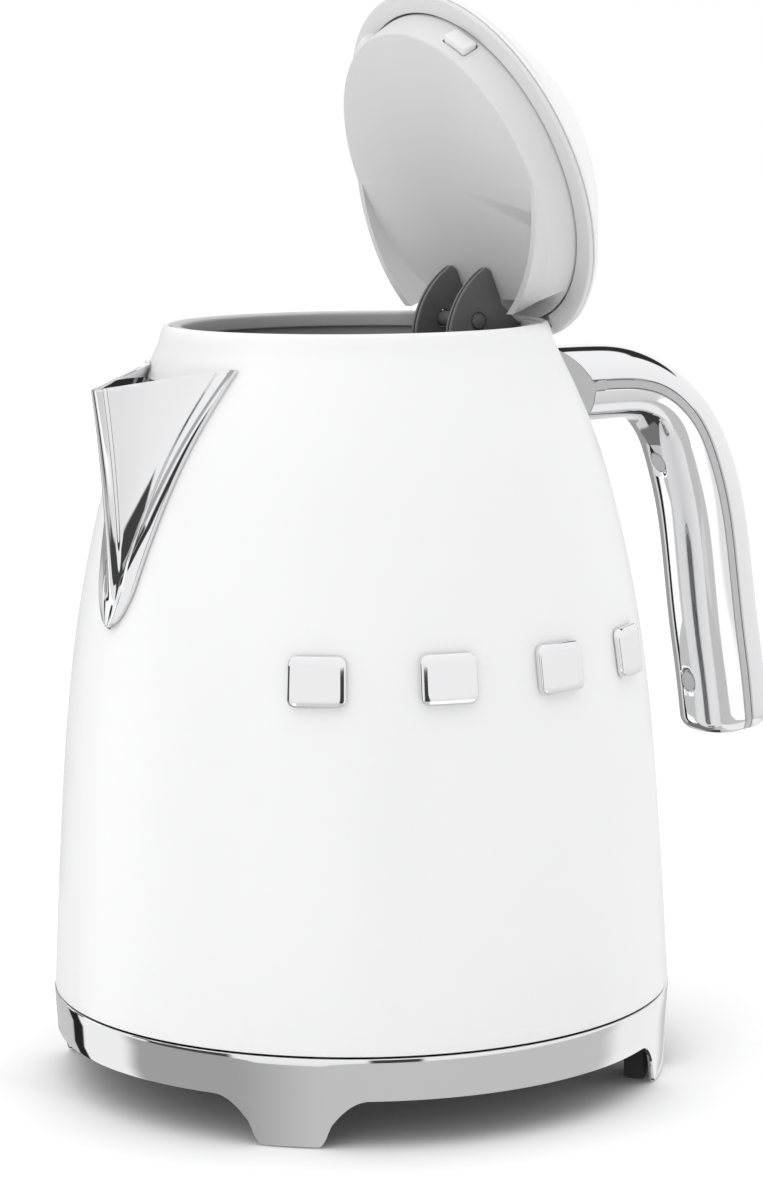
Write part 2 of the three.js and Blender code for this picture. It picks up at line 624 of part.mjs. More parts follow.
function catchBlock(side, grow, inner, outer) {
  const block = box(
    [inner, outer],
    [-CATCH.width / 2 - grow, CATCH.width / 2 + grow],
    [CATCH.z - CATCH.height / 2 - grow, CATCH.z + CATCH.height / 2 + grow],
  );
  return block.rotate([0, 0, 180 + side * CATCH.turnDeg]);
}

function lidButton() {
  const { radius, top, edge, stemR, stemZ, flangeR, flangeZ } = BUTTON;
  return turned([
    [0, stemZ], [stemR, stemZ], [stemR, flangeZ], [flangeR, flangeZ], [flangeR, flangeZ + 1.4],
    [radius, flangeZ + 1.8], [radius, edge], [radius * 0.55, top - 0.3], [0, top],
  ], MIDDLE);
}

function buttonSpring() {
  return solid(coil({ radius: 7.6, wire: 0.6, turns: 4, low: 214, high: 226, steps: 8 }));
}

// ---------- inside the jug ----------
function vesselFloor() {
  const plate = band(0, jugRadius(FLOOR_Z) - WALL - 0.4, FLOOR_Z, FLOOR_Z + 1.2);
  return plate.subtract(bar([STEAM.x, STEAM.y, 30], [STEAM.x, STEAM.y, 60], STEAM.radius + 0.4));
}

function heaterElement() {
  const sweep = 360 - HEATER.gapDeg;
  const points = [];
  const { ringR, ringZ } = HEATER;
  for (let i = 0; i <= 16; i++) {
    const angle = rad(HEATER.gapDeg / 2 + (sweep * i) / 16);
    points.push(new THREE.Vector3(ringR * Math.cos(angle), ringR * Math.sin(angle), ringZ));
  }
  return solid(wireAlong(points, HEATER.tube, 20));
}

function controlUnit() {
  const { radius, halfWidth } = CONTROL;
  const puck = band(0, radius, SOCKET.top + CLEAR, HEATER.z - CLEAR, MIDDLE);
  return puck.intersect(box([-radius, radius], [-halfWidth, halfWidth], [30, 45]));
}

function connectorSocket() {
  const { radius, recessR, recessZ, top } = SOCKET;
  const low = JUG_Z + 0.2;
  return turned([
    [0, recessZ], [recessR, recessZ], [recessR, low], [radius, low], [radius, top], [0, top],
  ], MIDDLE);
}

function bottomCover() {
  const edge = jugRadius(COVER_Z) - WALL - 0.5;
  const hole = SOCKET.radius + 0.4;
  const [top, flangeTop] = [COVER_Z + 1.8, 31];
  const plate = ring([
    [hole, COVER_Z], [edge, COVER_Z], [edge, flangeTop], [edge - 1.6, flangeTop],
    [edge - 1.6, top], [hole, top],
  ]);
  return drilled(plate, COVER_SCREWS, COVER_Z - 1, COVER_Z + 4);
}

function steamTube() {
  const tube = band(STEAM.bore, STEAM.radius, STEAM.low, STEAM.high, SMALL);
  return tube.translate([STEAM.x, STEAM.y, 0]);
}

// A plate that follows the jug's wall inside a slot outline seen along X.
function wallPlate(outline, low, high, inner, outer) {
  return wallLayer(low, high, inner, outer).intersect(prismAlongX(outline, 40, 110));
}

function gaugeGasket() {
  const { half, low, high, rim } = GAUGE;
  const outline = slotOutline(half + rim, low - rim, high + rim);
  const plate = wallPlate(outline, low - rim, high + rim, -3.2, -1.7);
  return plate.subtract(prismAlongX(slotOutline(half - 1, low + 1, high - 1), 40, 110));
}

function gaugeWindow() {
  const { half, low, high, rim, lens } = GAUGE;
  const outline = slotOutline(half + rim - 1, low - rim + 1, high + rim - 1);
  return wallPlate(outline, low - rim, high + rim, CLEAR, lens);
}

function switchBezel() {
  const { half, low, high, thick } = BEZEL;
  const outline = [[-half, low], [half, low], [half, high], [-half, high]];
  const plate = wallPlate(outline, low, high, CLEAR, thick);
  return plate.subtract(box([60, 110], [-LEVER.slotHalf, LEVER.slotHalf], [LEVER.low, LEVER.high]));
}

function switchLever() {
  const { x, z, half, reach } = LEVER;
  const outline = [
    [x - 3, z - 3], [x + 2, z - 3.4], [reach - 4, z - 2.4], [reach, z - 0.6], [reach - 0.4, z + 2],
    [reach - 5, z + 2.6], [x + 2, z + 3.4], [x - 3, z + 3],
  ];
  return slabAlongY(outline, 0, 2 * half);
}

// The limescale filter: a curved plate with slots, standing just inside the wall behind the spout.
function spoutFilter() {
  const { low, high, lowHalf, highHalf, inner, outer } = FILTER;
  const { rows, height, rib, reach, widen } = FILTER_SLOTS;
  const outline = [[-lowHalf, low], [lowHalf, low], [highHalf, high], [-highHalf, high]];
  const plate = wallLayer(low, high, inner, outer).intersect(prismAlongX(outline, -95, -30));
  return rows.reduce((rest, z, row) => {
    const end = reach + row * widen + rib;
    const slots = [[-end, -rib], [rib, end]].map((ends) => box([-95, -30], ends, [z, z + height]));
    return rest.subtract(slots[0]).subtract(slots[1]);
  }, plate);
}

// A blank raised tile, drawn upright at the origin and facing -Y.
function badgeShape() {
  const { width, height, thick, round } = BADGE;
  const shape = new THREE.Shape();
  const [w, h] = [width / 2 - round, height / 2 - round];
  const corners = [[w, h], [-w, h], [-w, -h], [w, -h]];
  corners.forEach(([x, y], i) => shape.absarc(x, y, round, rad(90 * i), rad(90 * i + 90), false));
  const options = { depth: thick, bevelEnabled: false, curveSegments: 3 };
  return new THREE.ExtrudeGeometry(shape, options).rotateX(Math.PI / 2);
}

// ---------- scene graph ----------
const group = new THREE.Group();
const kettle = new THREE.Group();
kettle.position.x = AXIS_X;
group.add(kettle);

const shades = {};
for (const [name, [color, roughness, metalness]] of Object.entries(MATERIALS)) {
  shades[name] = new THREE.MeshStandardMaterial({ color, roughness, metalness });
}

function place(name, body, material, parent = kettle) {
  const geometry = body.isBufferGeometry ? body : shapeOf(body);
  const mesh = new THREE.Mesh(geometry, shades[material]);
  mesh.name = name;
  parent.add(mesh);
  return mesh;
}

function placeScrews(name, screws) {
  spotsOf(screws).forEach((spot, i) => {
    place(`${name}_${i + 1}`, screw(spot, screws.head, screws.tip), "steel");
  });
}

function addBase() {
  place("base_ring", baseRing(), "chrome");
  FOOT_ANGLES.forEach((angle, i) => place(`foot_pad_${i + 1}`, footPad(angle), "rubber"));
  place("base_deck", baseDeck(), "blackPlastic");
  place("base_underside", baseUnderside(), "blackPlastic");
  placeScrews("base_screw", BASE_SCREWS);
  place("cord_gland", cordGland(), "rubber");
  place("base_connector", hub(), "blackPlastic");
  place("connector_pin", band(0, HUB_PIN.radius, HUB_PIN.low, HUB_PIN.high, SMALL), "brass");
  const { ringsR, ringWidth, grooveZ, ringTop } = HUB;
  ["inner", "outer"].forEach((name, i) => {
    const edges = [ringsR[i] - ringWidth / 2, ringsR[i] + ringWidth / 2];
    const contact = band(...edges, grooveZ + CLEAR, ringTop, MIDDLE);
    place(`contact_ring_${name}`, contact, "brass");
  });
}

function addVessel() {
  place("body_shell", bodyShell(), "whitePaint");
  place("spout", spout(), "chrome");
  place("neck_collar", neckCollar(), "greyPlastic");
  place("hinge_bracket", hingeBracket(), "darkGrey");
  const pinEnds = [-HINGE.pinHalf, HINGE.pinHalf].map((y) => [HINGE.x, y, HINGE.z]);
  place("hinge_pin", bar(...pinEnds, HINGE.pinR), "steel");
  place("lid_spring", lidSpring(), "steel");
  place("vessel_floor", vesselFloor(), "steel");
  const sealOuter = jugRadius(SEAL.high) - WALL - 0.4;
  place("floor_seal", band(SEAL.inner, sealOuter, SEAL.low, SEAL.high), "rubber");
  place("heater_plate", band(0, HEATER.radius, HEATER.z, HEATER.z + HEATER.thick), "aluminium");
  place("heater_element", heaterElement(), "steel");
  place("control_unit", controlUnit(), "blackPlastic");
  const disc = band(0, BIMETAL.radius, BIMETAL.low, BIMETAL.high, SMALL);
  place("bimetal_disc", disc.translate([STEAM.x, STEAM.y, 0]), "brass");
  place("steam_tube", steamTube(), "whitePlastic");
  place("jug_bottom_cover", bottomCover(), "blackPlastic");
  placeScrews("cover_screw", COVER_SCREWS);
  place("connector_socket", connectorSocket(), "blackPlastic");
}

function addFittings() {
  place("gauge_gasket", gaugeGasket(), "rubber");
  place("gauge_window", gaugeWindow(), "clear");
  place("switch_bezel", switchBezel(), "greyPlastic");
  place("switch_lever", switchLever(), "chrome");
  place("spout_filter", spoutFilter(), "steel");
}

function addHandle() {
  const { outer, inner, core, caps, screws } = handlePieces();
  place("handle_core", core, "greyPlastic");
  place("handle_outer_shell", outer, "chrome");
  place("handle_inner_shell", inner, "chrome");
  caps.forEach(([name, cap]) => place(`handle_cap_${name}`, cap, "whitePlastic"));
  screws.forEach(([name, body]) => place(`handle_screw_${name}`, body, "steel"));
}

function addBadges() {
  const lean = Math.atan2(jugRadius(BADGE.z - 6) - jugRadius(BADGE.z + 6), 12);
  for (let i = 0; i < BADGE_COUNT; i++) {
    const badge = place(`badge_${i + 1}`, badgeShape(), "chrome");
    const angle = rad(BADGE.firstDeg + i * BADGE.stepDeg);
    const radius = jugRadius(BADGE.z) + CLEAR + 0.1;
    badge.position.set(radius * Math.cos(angle), radius * Math.sin(angle), BADGE.z);
    badge.rotation.set(-lean, 0, angle + Math.PI / 2, "ZYX");
  }
}

function addLid() {
  const opened = new THREE.Group();
  opened.position.set(HINGE.x, 0, HINGE.z);
  opened.rotation.y = rad(HINGE.openDeg);
  const lid = new THREE.Group();
  lid.position.set(-HINGE.x, 0, -HINGE.z);
  opened.add(lid);
  kettle.add(opened);
  place("lid_dome", lidDome(), "whitePaint", lid);
  place("lid_trim_ring", trimRing(), "lightGrey", lid);
  place("lid_liner", lidLiner(), "lightGrey", lid);
  place("lid_arm_left", lidArm(-1), "darkGrey", lid);
  place("lid_arm_right", lidArm(1), "darkGrey", lid);
  const crossEnds = [-CROSS_PIN.half, CROSS_PIN.half].map((y) => [CROSS_PIN.x, y, CROSS_PIN.z]);
  place("arm_cross_pin", bar(...crossEnds, CROSS_PIN.radius), "darkGrey", lid);
  place("lid_button", lidButton(), "chrome", lid);
  place("button_spring", buttonSpring(), "steel", lid);
  place("catch_left", catchBlock(1, 0, CATCH.inner, CATCH.outer), "whitePlastic", lid);
  place("catch_right", catchBlock(-1, 0, CATCH.inner, CATCH.outer), "whitePlastic", lid);
}

addBase();
addVessel();
addFittings();
addHandle();
addBadges();
addLid();

export default group;
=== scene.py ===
"""Looks of an electric kettle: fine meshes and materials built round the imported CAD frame.

Shapes are written in millimetres about the jug's upright axis, as the kettle's own drawings would be,
and metres() turns them into the row frame. Lid pieces are drawn closed and then opened to their rest.
"""
import json
import math

import bmesh
import bpy
import numpy as np
from mathutils import Matrix, Vector


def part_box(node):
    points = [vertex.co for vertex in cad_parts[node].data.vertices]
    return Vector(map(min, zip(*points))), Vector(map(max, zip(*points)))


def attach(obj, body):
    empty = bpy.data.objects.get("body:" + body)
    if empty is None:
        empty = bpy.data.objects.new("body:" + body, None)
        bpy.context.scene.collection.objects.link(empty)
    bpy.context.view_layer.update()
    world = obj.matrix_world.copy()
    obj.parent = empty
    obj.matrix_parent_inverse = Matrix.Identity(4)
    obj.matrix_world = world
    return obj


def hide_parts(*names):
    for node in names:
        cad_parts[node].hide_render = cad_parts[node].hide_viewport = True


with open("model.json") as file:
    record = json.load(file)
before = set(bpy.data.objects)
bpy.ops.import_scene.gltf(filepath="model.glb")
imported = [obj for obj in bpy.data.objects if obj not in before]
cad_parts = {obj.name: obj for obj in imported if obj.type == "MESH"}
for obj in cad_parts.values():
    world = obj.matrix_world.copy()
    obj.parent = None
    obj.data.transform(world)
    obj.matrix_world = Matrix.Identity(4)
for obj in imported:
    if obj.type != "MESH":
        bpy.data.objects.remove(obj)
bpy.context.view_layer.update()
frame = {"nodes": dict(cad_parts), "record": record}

# ---------- the frame's facts ----------
RECORD = frame["record"]
BODY_OF = {node: body for body, nodes in RECORD["behaviour"]["bodies"].items() for node in nodes}
SLOT_OF = {row["node"]: row["material_slot"] for row in RECORD["subparts"]}
JOINTS = {joint["name"]: joint for joint in RECORD["behaviour"]["joints"]}

MM = 0.001
RING_LOW, RING_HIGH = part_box("base_ring")
AXIS_X = (RING_LOW[0] + RING_HIGH[0]) / 2 / MM
HINGE = Vector(JOINTS["lid_hinge"]["pos_m"]) / MM - Vector((AXIS_X, 0, 0))
OPEN_DEG = -JOINTS["lid_hinge"]["range_deg"][0]
OPENED = (
    Matrix.Translation(HINGE)
    @ Matrix.Rotation(math.radians(OPEN_DEG), 4, "Y")
    @ Matrix.Translation(-HINGE)
)

# ---------- driving dimensions, in millimetres ----------
GAP = 0.3
FINE = 200  # facets of the large rounds
SMALL = 64  # facets of the small rounds

BASE = {
    "ring_r": 85.5, "band_r": 84.8, "foot_r": 84.2, "wall": 1.5,
    "top": 24.0, "rim": 24.3, "band": 12.8, "foot": 0.4,
}
FOOT = {"flat": 5.0, "spread": 14.2, "inner": 75.0, "outer": 81.3, "half_deg": 4.6, "top": 12.7}
FOOT_DEGREES = (45, 135, 225, 315)

JUG_BOTTOM = 24.7
WALL = 1.3
JUG_WALL = [
    (85.3, 24.7), (84.2, 46), (82.1, 80), (79, 113), (75.5, 135.7), (71.3, 155),
    (64.8, 177), (58.4, 192), (53.8, 201.7),
]
LIP = [
    (53.35, 203.6), (52.75, 205.5), (52.2, 206.4), (51.7, 206.75), (51.1, 206.55), (50.8, 206.0), (50.7, 205),
]
COLLAR = {"inner": 47.5, "outer": 50.1, "top": 206.35, "step": 202.5, "skirt_r": 51, "skirt": 196}
POCKET_HALF = 13.6

SPOUT = {"top": 199, "bottom": 129.6, "bend": 140, "corner_z": 197.8, "corner_half": 24.3, "flare": 0.262}
SPOUT_TIP = (-81.6, 192)
SPOUT_CORNER_X = -51
SPOUT_SHEET = 1.1
SPOUT_BEAD = {"jug": 4.6, "nose": 3.2, "slope": 1.1, "depth": 0.6}

HANDLE_HALF_WIDTH = 12.5
SQUARENESS = 2.5  # the section's power: 2 is an ellipse, more is squarer
HANDLE_LINE = [
    (50, 186.4, 10.9), (76.5, 186.5, 10.9), (87, 186.1, 10.4), (95.4, 184.1, 9.4), (103, 179.5, 9.2),
    (109.4, 172.3, 10), (114, 163, 11), (117.7, 151.6, 11.5), (120.9, 134.3, 11.8),
    (123.7, 113.8, 12), (126.4, 96.8, 11.95), (127.7, 86, 11.8),
]
HANDLE_END = 81
BAND_HALF = 1.35
FLANGE_X = 71.3
FLANGE_STATIONS = 35
HANDLE_CAPS = {"upper": (101.8, 161.4), "lower": (113.2, 96.4)}

DOME = {"rim_r": 51.6, "rim": 208.7, "r": 49.3, "z": 210.4, "rise": 25.4, "sheet": 1.5}
TRIM = {"inner": 45.9, "outer": 51.4, "low": 207.1, "high": 208.4, "gap": 16}
LINER = {"face_r": 43.8, "face": 198.2, "flange_r": 45.4, "flange": 206.8, "wall": 1.8, "chord": 34.5}
WING = {"low": 189.5, "inner": 41.8}
ARM = {"y": 8.5, "thick": 2.6, "radius": 23.8, "from": 187, "to": 250, "boss": 3.4}
CROSS_PIN = (37.0, 189.0)
BUTTON = {"r": 11, "top": 236.4, "edge": 235.2, "stem": 4, "low": 206, "flange_r": 13, "flange": 230}
CATCH = {"turn": 31.5, "width": 8.5, "height": 4.6, "z": 203.6, "inner": 36, "outer": 46.2}

BADGE = {"width": 15, "height": 13, "thick": 1.8, "z": 120.7, "first": 230.2, "step": 24.6, "round": 2.2}
GAUGE = {"half": 5, "low": 58, "high": 128, "rim": 3}
LEVER = {"x": 79.5, "z": 38, "half": 7.5, "slot": 9, "low": 31.5, "high": 45.5, "reach": 94}
FLOOR_Z = 43.6
FLOOR_SEAL = {"inner": 79.4, "low": 45.1, "high": 48}
HEAT_PLATE = {"r": 46, "low": 40.1, "high": 43.3}
HUB = {"r": 16, "low": 15.1, "top": 31, "pin": 1.8, "rings": (6.6, 11), "width": 1.2, "groove": 28}
SOCKET = {"r": 23.7, "recess_r": 17, "recess": 32.6, "top": 36}
STEAM = {"x": 40, "y": 36, "r": 5, "bore": 3.8, "low": 36, "high": 180}
STEAM_AT = (STEAM["x"], STEAM["y"])
ELEMENT = {"r": 36, "z": 36.4, "wire": 3.2, "start": 25, "sweep": 310}
COVER_Z = 26.2
BASE_SCREWS = {"radius": 60, "degrees": (90, 210, 330), "head": 11.4, "tip": 19.8}
COVER_SCREWS = {"radius": 70, "degrees": (30, 150, 270), "head": 24.8, "tip": 34}
SCREW_BORE = 1.9


# ---------- mesh tools ----------
def metres(point):
    """A point in the drawing's millimetres, in the row frame."""
    return Vector(((point[0] + AXIS_X) * MM, point[1] * MM, point[2] * MM))


def shade(obj, crease=35):
    """Smooth shading with creases where faces meet at more than an angle in degrees."""
    mesh = obj.data
    mesh.polygons.foreach_set("use_smooth", [True] * len(mesh.polygons))
    mesh.set_sharp_from_angle(angle=math.radians(crease))
    mesh.update()


def put_in_scene(name, data):
    obj = bpy.data.objects.new(name, data)
    bpy.context.scene.collection.objects.link(obj)
    return obj


def rework(mesh, change):
    """Runs a change on an editable copy of a mesh and writes it back."""
    work = bmesh.new()
    work.from_mesh(mesh)
    change(work)
    work.to_mesh(mesh)
    work.free()


def build(name, points, faces, lid=False, crease=35):
    """A clean mesh with its faces outward, in the row frame; a lid piece is drawn closed and opened here."""
    place = OPENED if lid else Matrix.Identity(4)
    mesh = bpy.data.meshes.new(name)
    mesh.from_pydata([metres(place @ Vector(p)) for p in points], [], faces)

    def clean(work):
        bmesh.ops.remove_doubles(work, verts=work.verts, dist=1e-6)
        bmesh.ops.dissolve_degenerate(work, edges=work.edges, dist=1e-7)
        loose = [v for v in work.verts if not v.link_faces]
        bmesh.ops.delete(work, geom=loose, context="VERTS")
        bmesh.ops.recalc_face_normals(work, faces=work.faces)
        if work.calc_volume(signed=True) < 0:
            bmesh.ops.reverse_faces(work, faces=work.faces)

    rework(mesh, clean)
    obj = put_in_scene(name, mesh)
    shade(obj, crease)
    return obj


def bake_modifiers(obj, crease=35):
    """Replaces an object's mesh by what its modifiers make of it."""
    graph = bpy.context.evaluated_depsgraph_get()
    mesh = bpy.data.meshes.new_from_object(obj.evaluated_get(graph))
    obj.modifiers.clear()
    obj.data = mesh
    shade(obj, crease)
    return obj


def combine(obj, others, operation="DIFFERENCE"):
    """Cuts, joins or intersects an object with others, which are used up."""
    for other in others:
        step = obj.modifiers.new("combine", "BOOLEAN")
        step.object = other
        step.operation = operation
        step.solver = "EXACT"
    bake_modifiers(obj)
    for other in others:
        bpy.data.objects.remove(other)
    return obj


def soften(obj, width, segments=3, angle=40, crease=50):
    """Rounds an object's sharp edges."""
    step = obj.modifiers.new("soften", "BEVEL")
    step.width = width * MM
    step.segments = segments
    step.limit_method = "ANGLE"
    step.angle_limit = math.radians(angle)
    step.harden_normals = False
    return bake_modifiers(obj, crease)


def smooth_curve(points, count):
    """A natural cubic spline through points, as count + 1 points."""
    points = np.array(points, float)
    reach = np.concatenate([[0], np.cumsum(np.linalg.norm(np.diff(points, axis=0), axis=1))])
    n = len(points)
    step = np.diff(reach)
    matrix = np.eye(n)
    right = np.zeros_like(points)
    for i in range(1, n - 1):
        matrix[i, i - 1 : i + 2] = step[i - 1], 2 * (step[i - 1] + step[i]), step[i]
        rise = (points[i + 1] - points[i]) / step[i] - (points[i] - points[i - 1]) / step[i - 1]
        right[i] = 6 * rise
    bend = np.linalg.solve(matrix, right)
    places = np.linspace(0, reach[-1], count + 1)
    spans = np.clip(np.searchsorted(reach, places) - 1, 0, n - 2)
    result = []
    for place, i in zip(places, spans):
        a, b = reach[i + 1] - place, place - reach[i]
        h = step[i]
        curve = (bend[i] * a**3 + bend[i + 1] * b**3) / (6 * h)
        line = (points[i] / h - bend[i] * h / 6) * a + (points[i + 1] / h - bend[i + 1] * h / 6) * b
        result.append(tuple(curve + line))
    return result


def rounded(points, radius, steps=4, closed=True):
    """An outline with each corner rounded; radius is one number or one per corner."""
    count = len(points)
    radii = radius if isinstance(radius, (list, tuple)) else [radius] * count
    result = []
    for i, corner in enumerate(points):
        here = Vector(corner)
        if radii[i] == 0 or (not closed and i in (0, count - 1)):
            result.append(tuple(here))
            continue
        before = Vector(points[i - 1]) - here
        after = Vector(points[(i + 1) % count]) - here
        reach = min(radii[i], before.length * 0.48, after.length * 0.48)
        start = here + before.normalized() * reach
        end = here + after.normalized() * reach
        for k in range(steps + 1):
            t = k / steps
            result.append(tuple(start * (1 - t) ** 2 + here * 2 * t * (1 - t) + end * t**2))
    return result


def lathe(name, profile, facets=FINE, at=(0, 0), closed=True, lid=False):
    """A solid of revolution about Z through at; a profile that is not closed ends on the axis."""
    axes = np.array([(*at, 0), (0, 0, 1), (1, 0, 0), (0, 1, 0)], float)
    return build(name, *turned(profile, facets, axes, closed), lid)


def lathe_along(name, profile, origin, direction, facets=SMALL):
    """A solid of revolution about a slanted axis; the profile is (radius, distance along it)."""
    across = direction.orthogonal().normalized()
    axes = (origin, direction, across, direction.cross(across))
    return build(name, *turned(profile, facets, axes, closed=False))


def turned(profile, facets, axes, closed):
    """Points and faces of a turned profile; axes are an origin, the axis and the two ways across it."""
    origin, axis, across, other = axes
    points, rows, faces = [], [], []
    for r, place in profile:
        centre = origin + axis * place
        on_axis = r < 1e-6
        rows.append([len(points)] * facets if on_axis else list(range(len(points), len(points) + facets)))
        points += [centre] if on_axis else circle(centre, across, other, r, facets)
    for low, high in zip(rows, rows[1:] + rows[:1] if closed else rows[1:]):
        for i in range(facets):
            j = (i + 1) % facets
            faces.append(list(dict.fromkeys([low[i], low[j], high[j], high[i]])))
    return points, [face for face in faces if len(face) > 2]


def disc(name, inner, outer, low, high, edge=0.3, facets=FINE, **more):
    """A ring, or with an inner radius of 0 a disc, with softened edges."""
    if inner == 0:
        profile = rounded([(0, low), (outer, low), (outer, high), (0, high)], edge, closed=False)
        return lathe(name, profile, facets, closed=False, **more)
    profile = rounded([(inner, low), (outer, low), (outer, high), (inner, high)], edge)
    return lathe(name, profile, facets, **more)


def skin(name, rings, caps=True, lid=False, crease=35):
    """A closed skin over rings with the same number of points."""
    count = len(rings[0])
    points = [p for ring in rings for p in ring]
    faces = []
    for i in range(len(rings) - 1):
        for j in range(count):
            k = (j + 1) % count
            faces.append([i * count + j, i * count + k, (i + 1) * count + k, (i + 1) * count + j])
    if caps:
        faces.append(list(range(count))[::-1])
        faces.append([(len(rings) - 1) * count + j for j in range(count)])
    return build(name, points, faces, lid, crease)


def prism(name, outline, direction, low, high, lid=False):
    """An outline extruded along x, y or z; its two numbers are the other two coordinates in order."""
    spot = {"x": lambda a, b, c: (c, a, b), "y": lambda a, b, c: (a, c, b), "z": lambda a, b, c: (a, b, c)}
    rings = [[spot[direction](a, b, c) for a, b in outline] for c in (low, high)]
    return skin(name, rings, lid=lid)


def circle(centre, across, other, radius, facets):
    """Points round a centre, in the plane of two ways across the axis."""
    turns = [2 * math.pi * i / facets for i in range(facets)]
    return [centre + (across * math.cos(a) + other * math.sin(a)) * radius for a in turns]


def rod(name, start, end, radius, facets=SMALL, edge=0.25, lid=False):
    """A round bar between two points, with softened ends."""
    start, end = Vector(start), Vector(end)
    along = (end - start).normalized()
    across = along.orthogonal().normalized()
    other = along.cross(across)
    length = (end - start).length
    stations = [(0, radius - edge), (edge * 0.3, radius - edge * 0.3), (edge, radius)]
    stations += [(length - d, r) for d, r in reversed(stations)]
    rings = [circle(start + along * place, across, other, r, facets) for place, r in stations]
    return skin(name, rings, lid=lid)


def block(name, low, high, lid=False):
    outline = [(low[0], low[1]), (high[0], low[1]), (high[0], high[1]), (low[0], high[1])]
    return prism(name, outline, "z", low[2], high[2], lid)


def wire(name, path, radius, sides=12, lid=False):
    """A round wire along a path of points."""
    path = [Vector(p) for p in path]
    across = (path[1] - path[0]).orthogonal().normalized()
    rings = []
    for i, here in enumerate(path):
        along = (path[min(i + 1, len(path) - 1)] - path[max(i - 1, 0)]).normalized()
        across = (across - along * across.dot(along)).normalized()
        rings.append(circle(here, across, along.cross(across), radius, sides))
    return skin(name, rings, lid=lid)


def coil(name, spot, radius, start, end, thick, turns=4, steps=24, lid=False):
    """A spring from start to end along its axis; spot makes a point of two places across it and one along."""
    path = []
    for i in range(turns * steps + 1):
        turn = 2 * math.pi * i / steps
        along = start + (end - start) * i / (turns * steps)
        path.append(spot(radius * math.cos(turn), radius * math.sin(turn), along))
    return wire(name, path, thick, lid=lid)


def polar(radius, degrees, z):
    angle = math.radians(degrees)
    return (radius * math.cos(angle), radius * math.sin(angle), z)


def merge_close(obj, distance):
    """Merges points that lie closer than a distance, which closes the hairline seams of a boolean."""

    def merge(work):
        bmesh.ops.remove_doubles(work, verts=work.verts[:], dist=distance * MM)
        bmesh.ops.dissolve_degenerate(work, edges=work.edges[:], dist=distance * MM / 2)

    rework(obj.data, merge)
    return obj


# ---------- the jug's wall ----------
WALL_CURVE = smooth_curve(JUG_WALL, 72)
WALL_HEIGHTS = [z for _, z in WALL_CURVE]
WALL_RADII = [r for r, _ in WALL_CURVE]


def jug_radius(z):
    return float(np.interp(z, WALL_HEIGHTS, WALL_RADII))


def slot_outline(half, low, high, steps=12):
    """An upright slot with round ends, as (y, z) points."""
    ends = [(high - half, 0.0), (low + half, math.pi)]
    outline = []
    for z, start in ends:
        for i in range(steps + 1):
            angle = start + math.pi * i / steps
            outline.append((half * math.cos(angle), z + half * math.sin(angle)))
    return outline


def wall_plate(name, outline, inner, outer, edge=0.35):
    """A plate that follows the jug's wall on the handle side, inside an outline of (y, z) points."""
    rings = []
    for offset, inset in ((inner, 0), (outer - edge, 0), (outer - edge * 0.3, edge * 0.3), (outer, edge)):
        middle = np.mean(outline, axis=0)
        ring = []
        for y, z in outline:
            span = math.hypot(y - middle[0], z - middle[1])
            y -= (y - middle[0]) / span * inset
            z -= (z - middle[1]) / span * inset
            radius = jug_radius(z) + offset
            ring.append((math.sqrt(radius**2 - y**2), y, z))
        rings.append(ring)
    return skin(name, rings)


# ---------- base ----------
def skirt_edge(degrees):
    """Height of the ring's lower edge: it curves down from the band to the four feet."""
    away = min(abs((degrees - foot + 180) % 360 - 180) for foot in FOOT_DEGREES)
    t = min(max((away - FOOT["flat"]) / (FOOT["spread"] - FOOT["flat"]), 0), 1)
    rise = (1 - (1 - t) ** 2) * ease(t / 0.28)
    return BASE["foot"] + (BASE["band"] - BASE["foot"]) * rise


def ring_radius(z):
    """Outer radius of the ring: it widens from the feet to the band and on to its top."""
    if z > BASE["band"]:
        return float(np.interp(z, (BASE["band"], BASE["top"]), (BASE["band_r"], BASE["ring_r"])))
    return float(np.interp(z, (0, BASE["band"]), (BASE["foot_r"], BASE["band_r"])))


def base_ring():
    facets, edge, wall = 720, 0.35, BASE["wall"]
    rings = []
    for i in range(facets):
        degrees = 360 * i / facets
        low, top = skirt_edge(degrees), BASE["rim"]
        outside = [(low, -edge), (low + edge * 0.3, -edge * 0.3), (low + edge, 0)]
        outside += [(low + (top - low) * t, 0) for t in (0.25, 0.5, 0.75)]
        outside += [(top - edge, 0), (top - edge * 0.3, -edge * 0.3), (top, -edge)]
        inside = [(top, edge - wall), (top - edge, -wall), (low + edge, -wall), (low, edge - wall)]
        rings.append([polar(ring_radius(z) + offset, degrees, z) for z, offset in outside + inside])
    return skin("base_ring_skirt", rings + [rings[0]], caps=False)


def foot_pad(number, degrees):
    """The rubber block behind one of the ring's feet."""
    corners = [(FOOT["inner"], -1), (FOOT["outer"], -1), (FOOT["outer"], 1), (FOOT["inner"], 1)]
    outline = [polar(r, degrees + side * FOOT["half_deg"], 0)[:2] for r, side in corners]
    return soften(prism(f"foot_block_{number}", outline, "z", 0, FOOT["top"]), 1.2, 4)


def base_deck():
    z, thick = 20.4, 2.0
    profile = [
        (16.6, z), (80, z), (80, 15.2), (81.6, 15.2), (81.6, z), (82.8, z + 0.6), (82.8, z + thick),
        (78, z + thick), (76.5, z + thick - 0.7), (26, z + thick - 0.7), (24.5, z + thick), (16.6, z + thick),
    ]
    return lathe("base_top_deck", rounded(profile, 0.5))


def base_underside():
    z, thick, wrap = 13.0, 1.8, 4.0
    profile = [
        (14, z), (42, z), (42, wrap), (43.6, wrap), (43.6, z), (70, z), (71, z + 0.7), (77, z + 0.7), (78, z),
        (81.6, z), (81.6, z + thick), (14, z + thick),
    ]
    plate = lathe("base_underside_pan", rounded(profile, 0.4))
    return combine(plate, screw_drills(BASE_SCREWS, z - 2, z + 4))


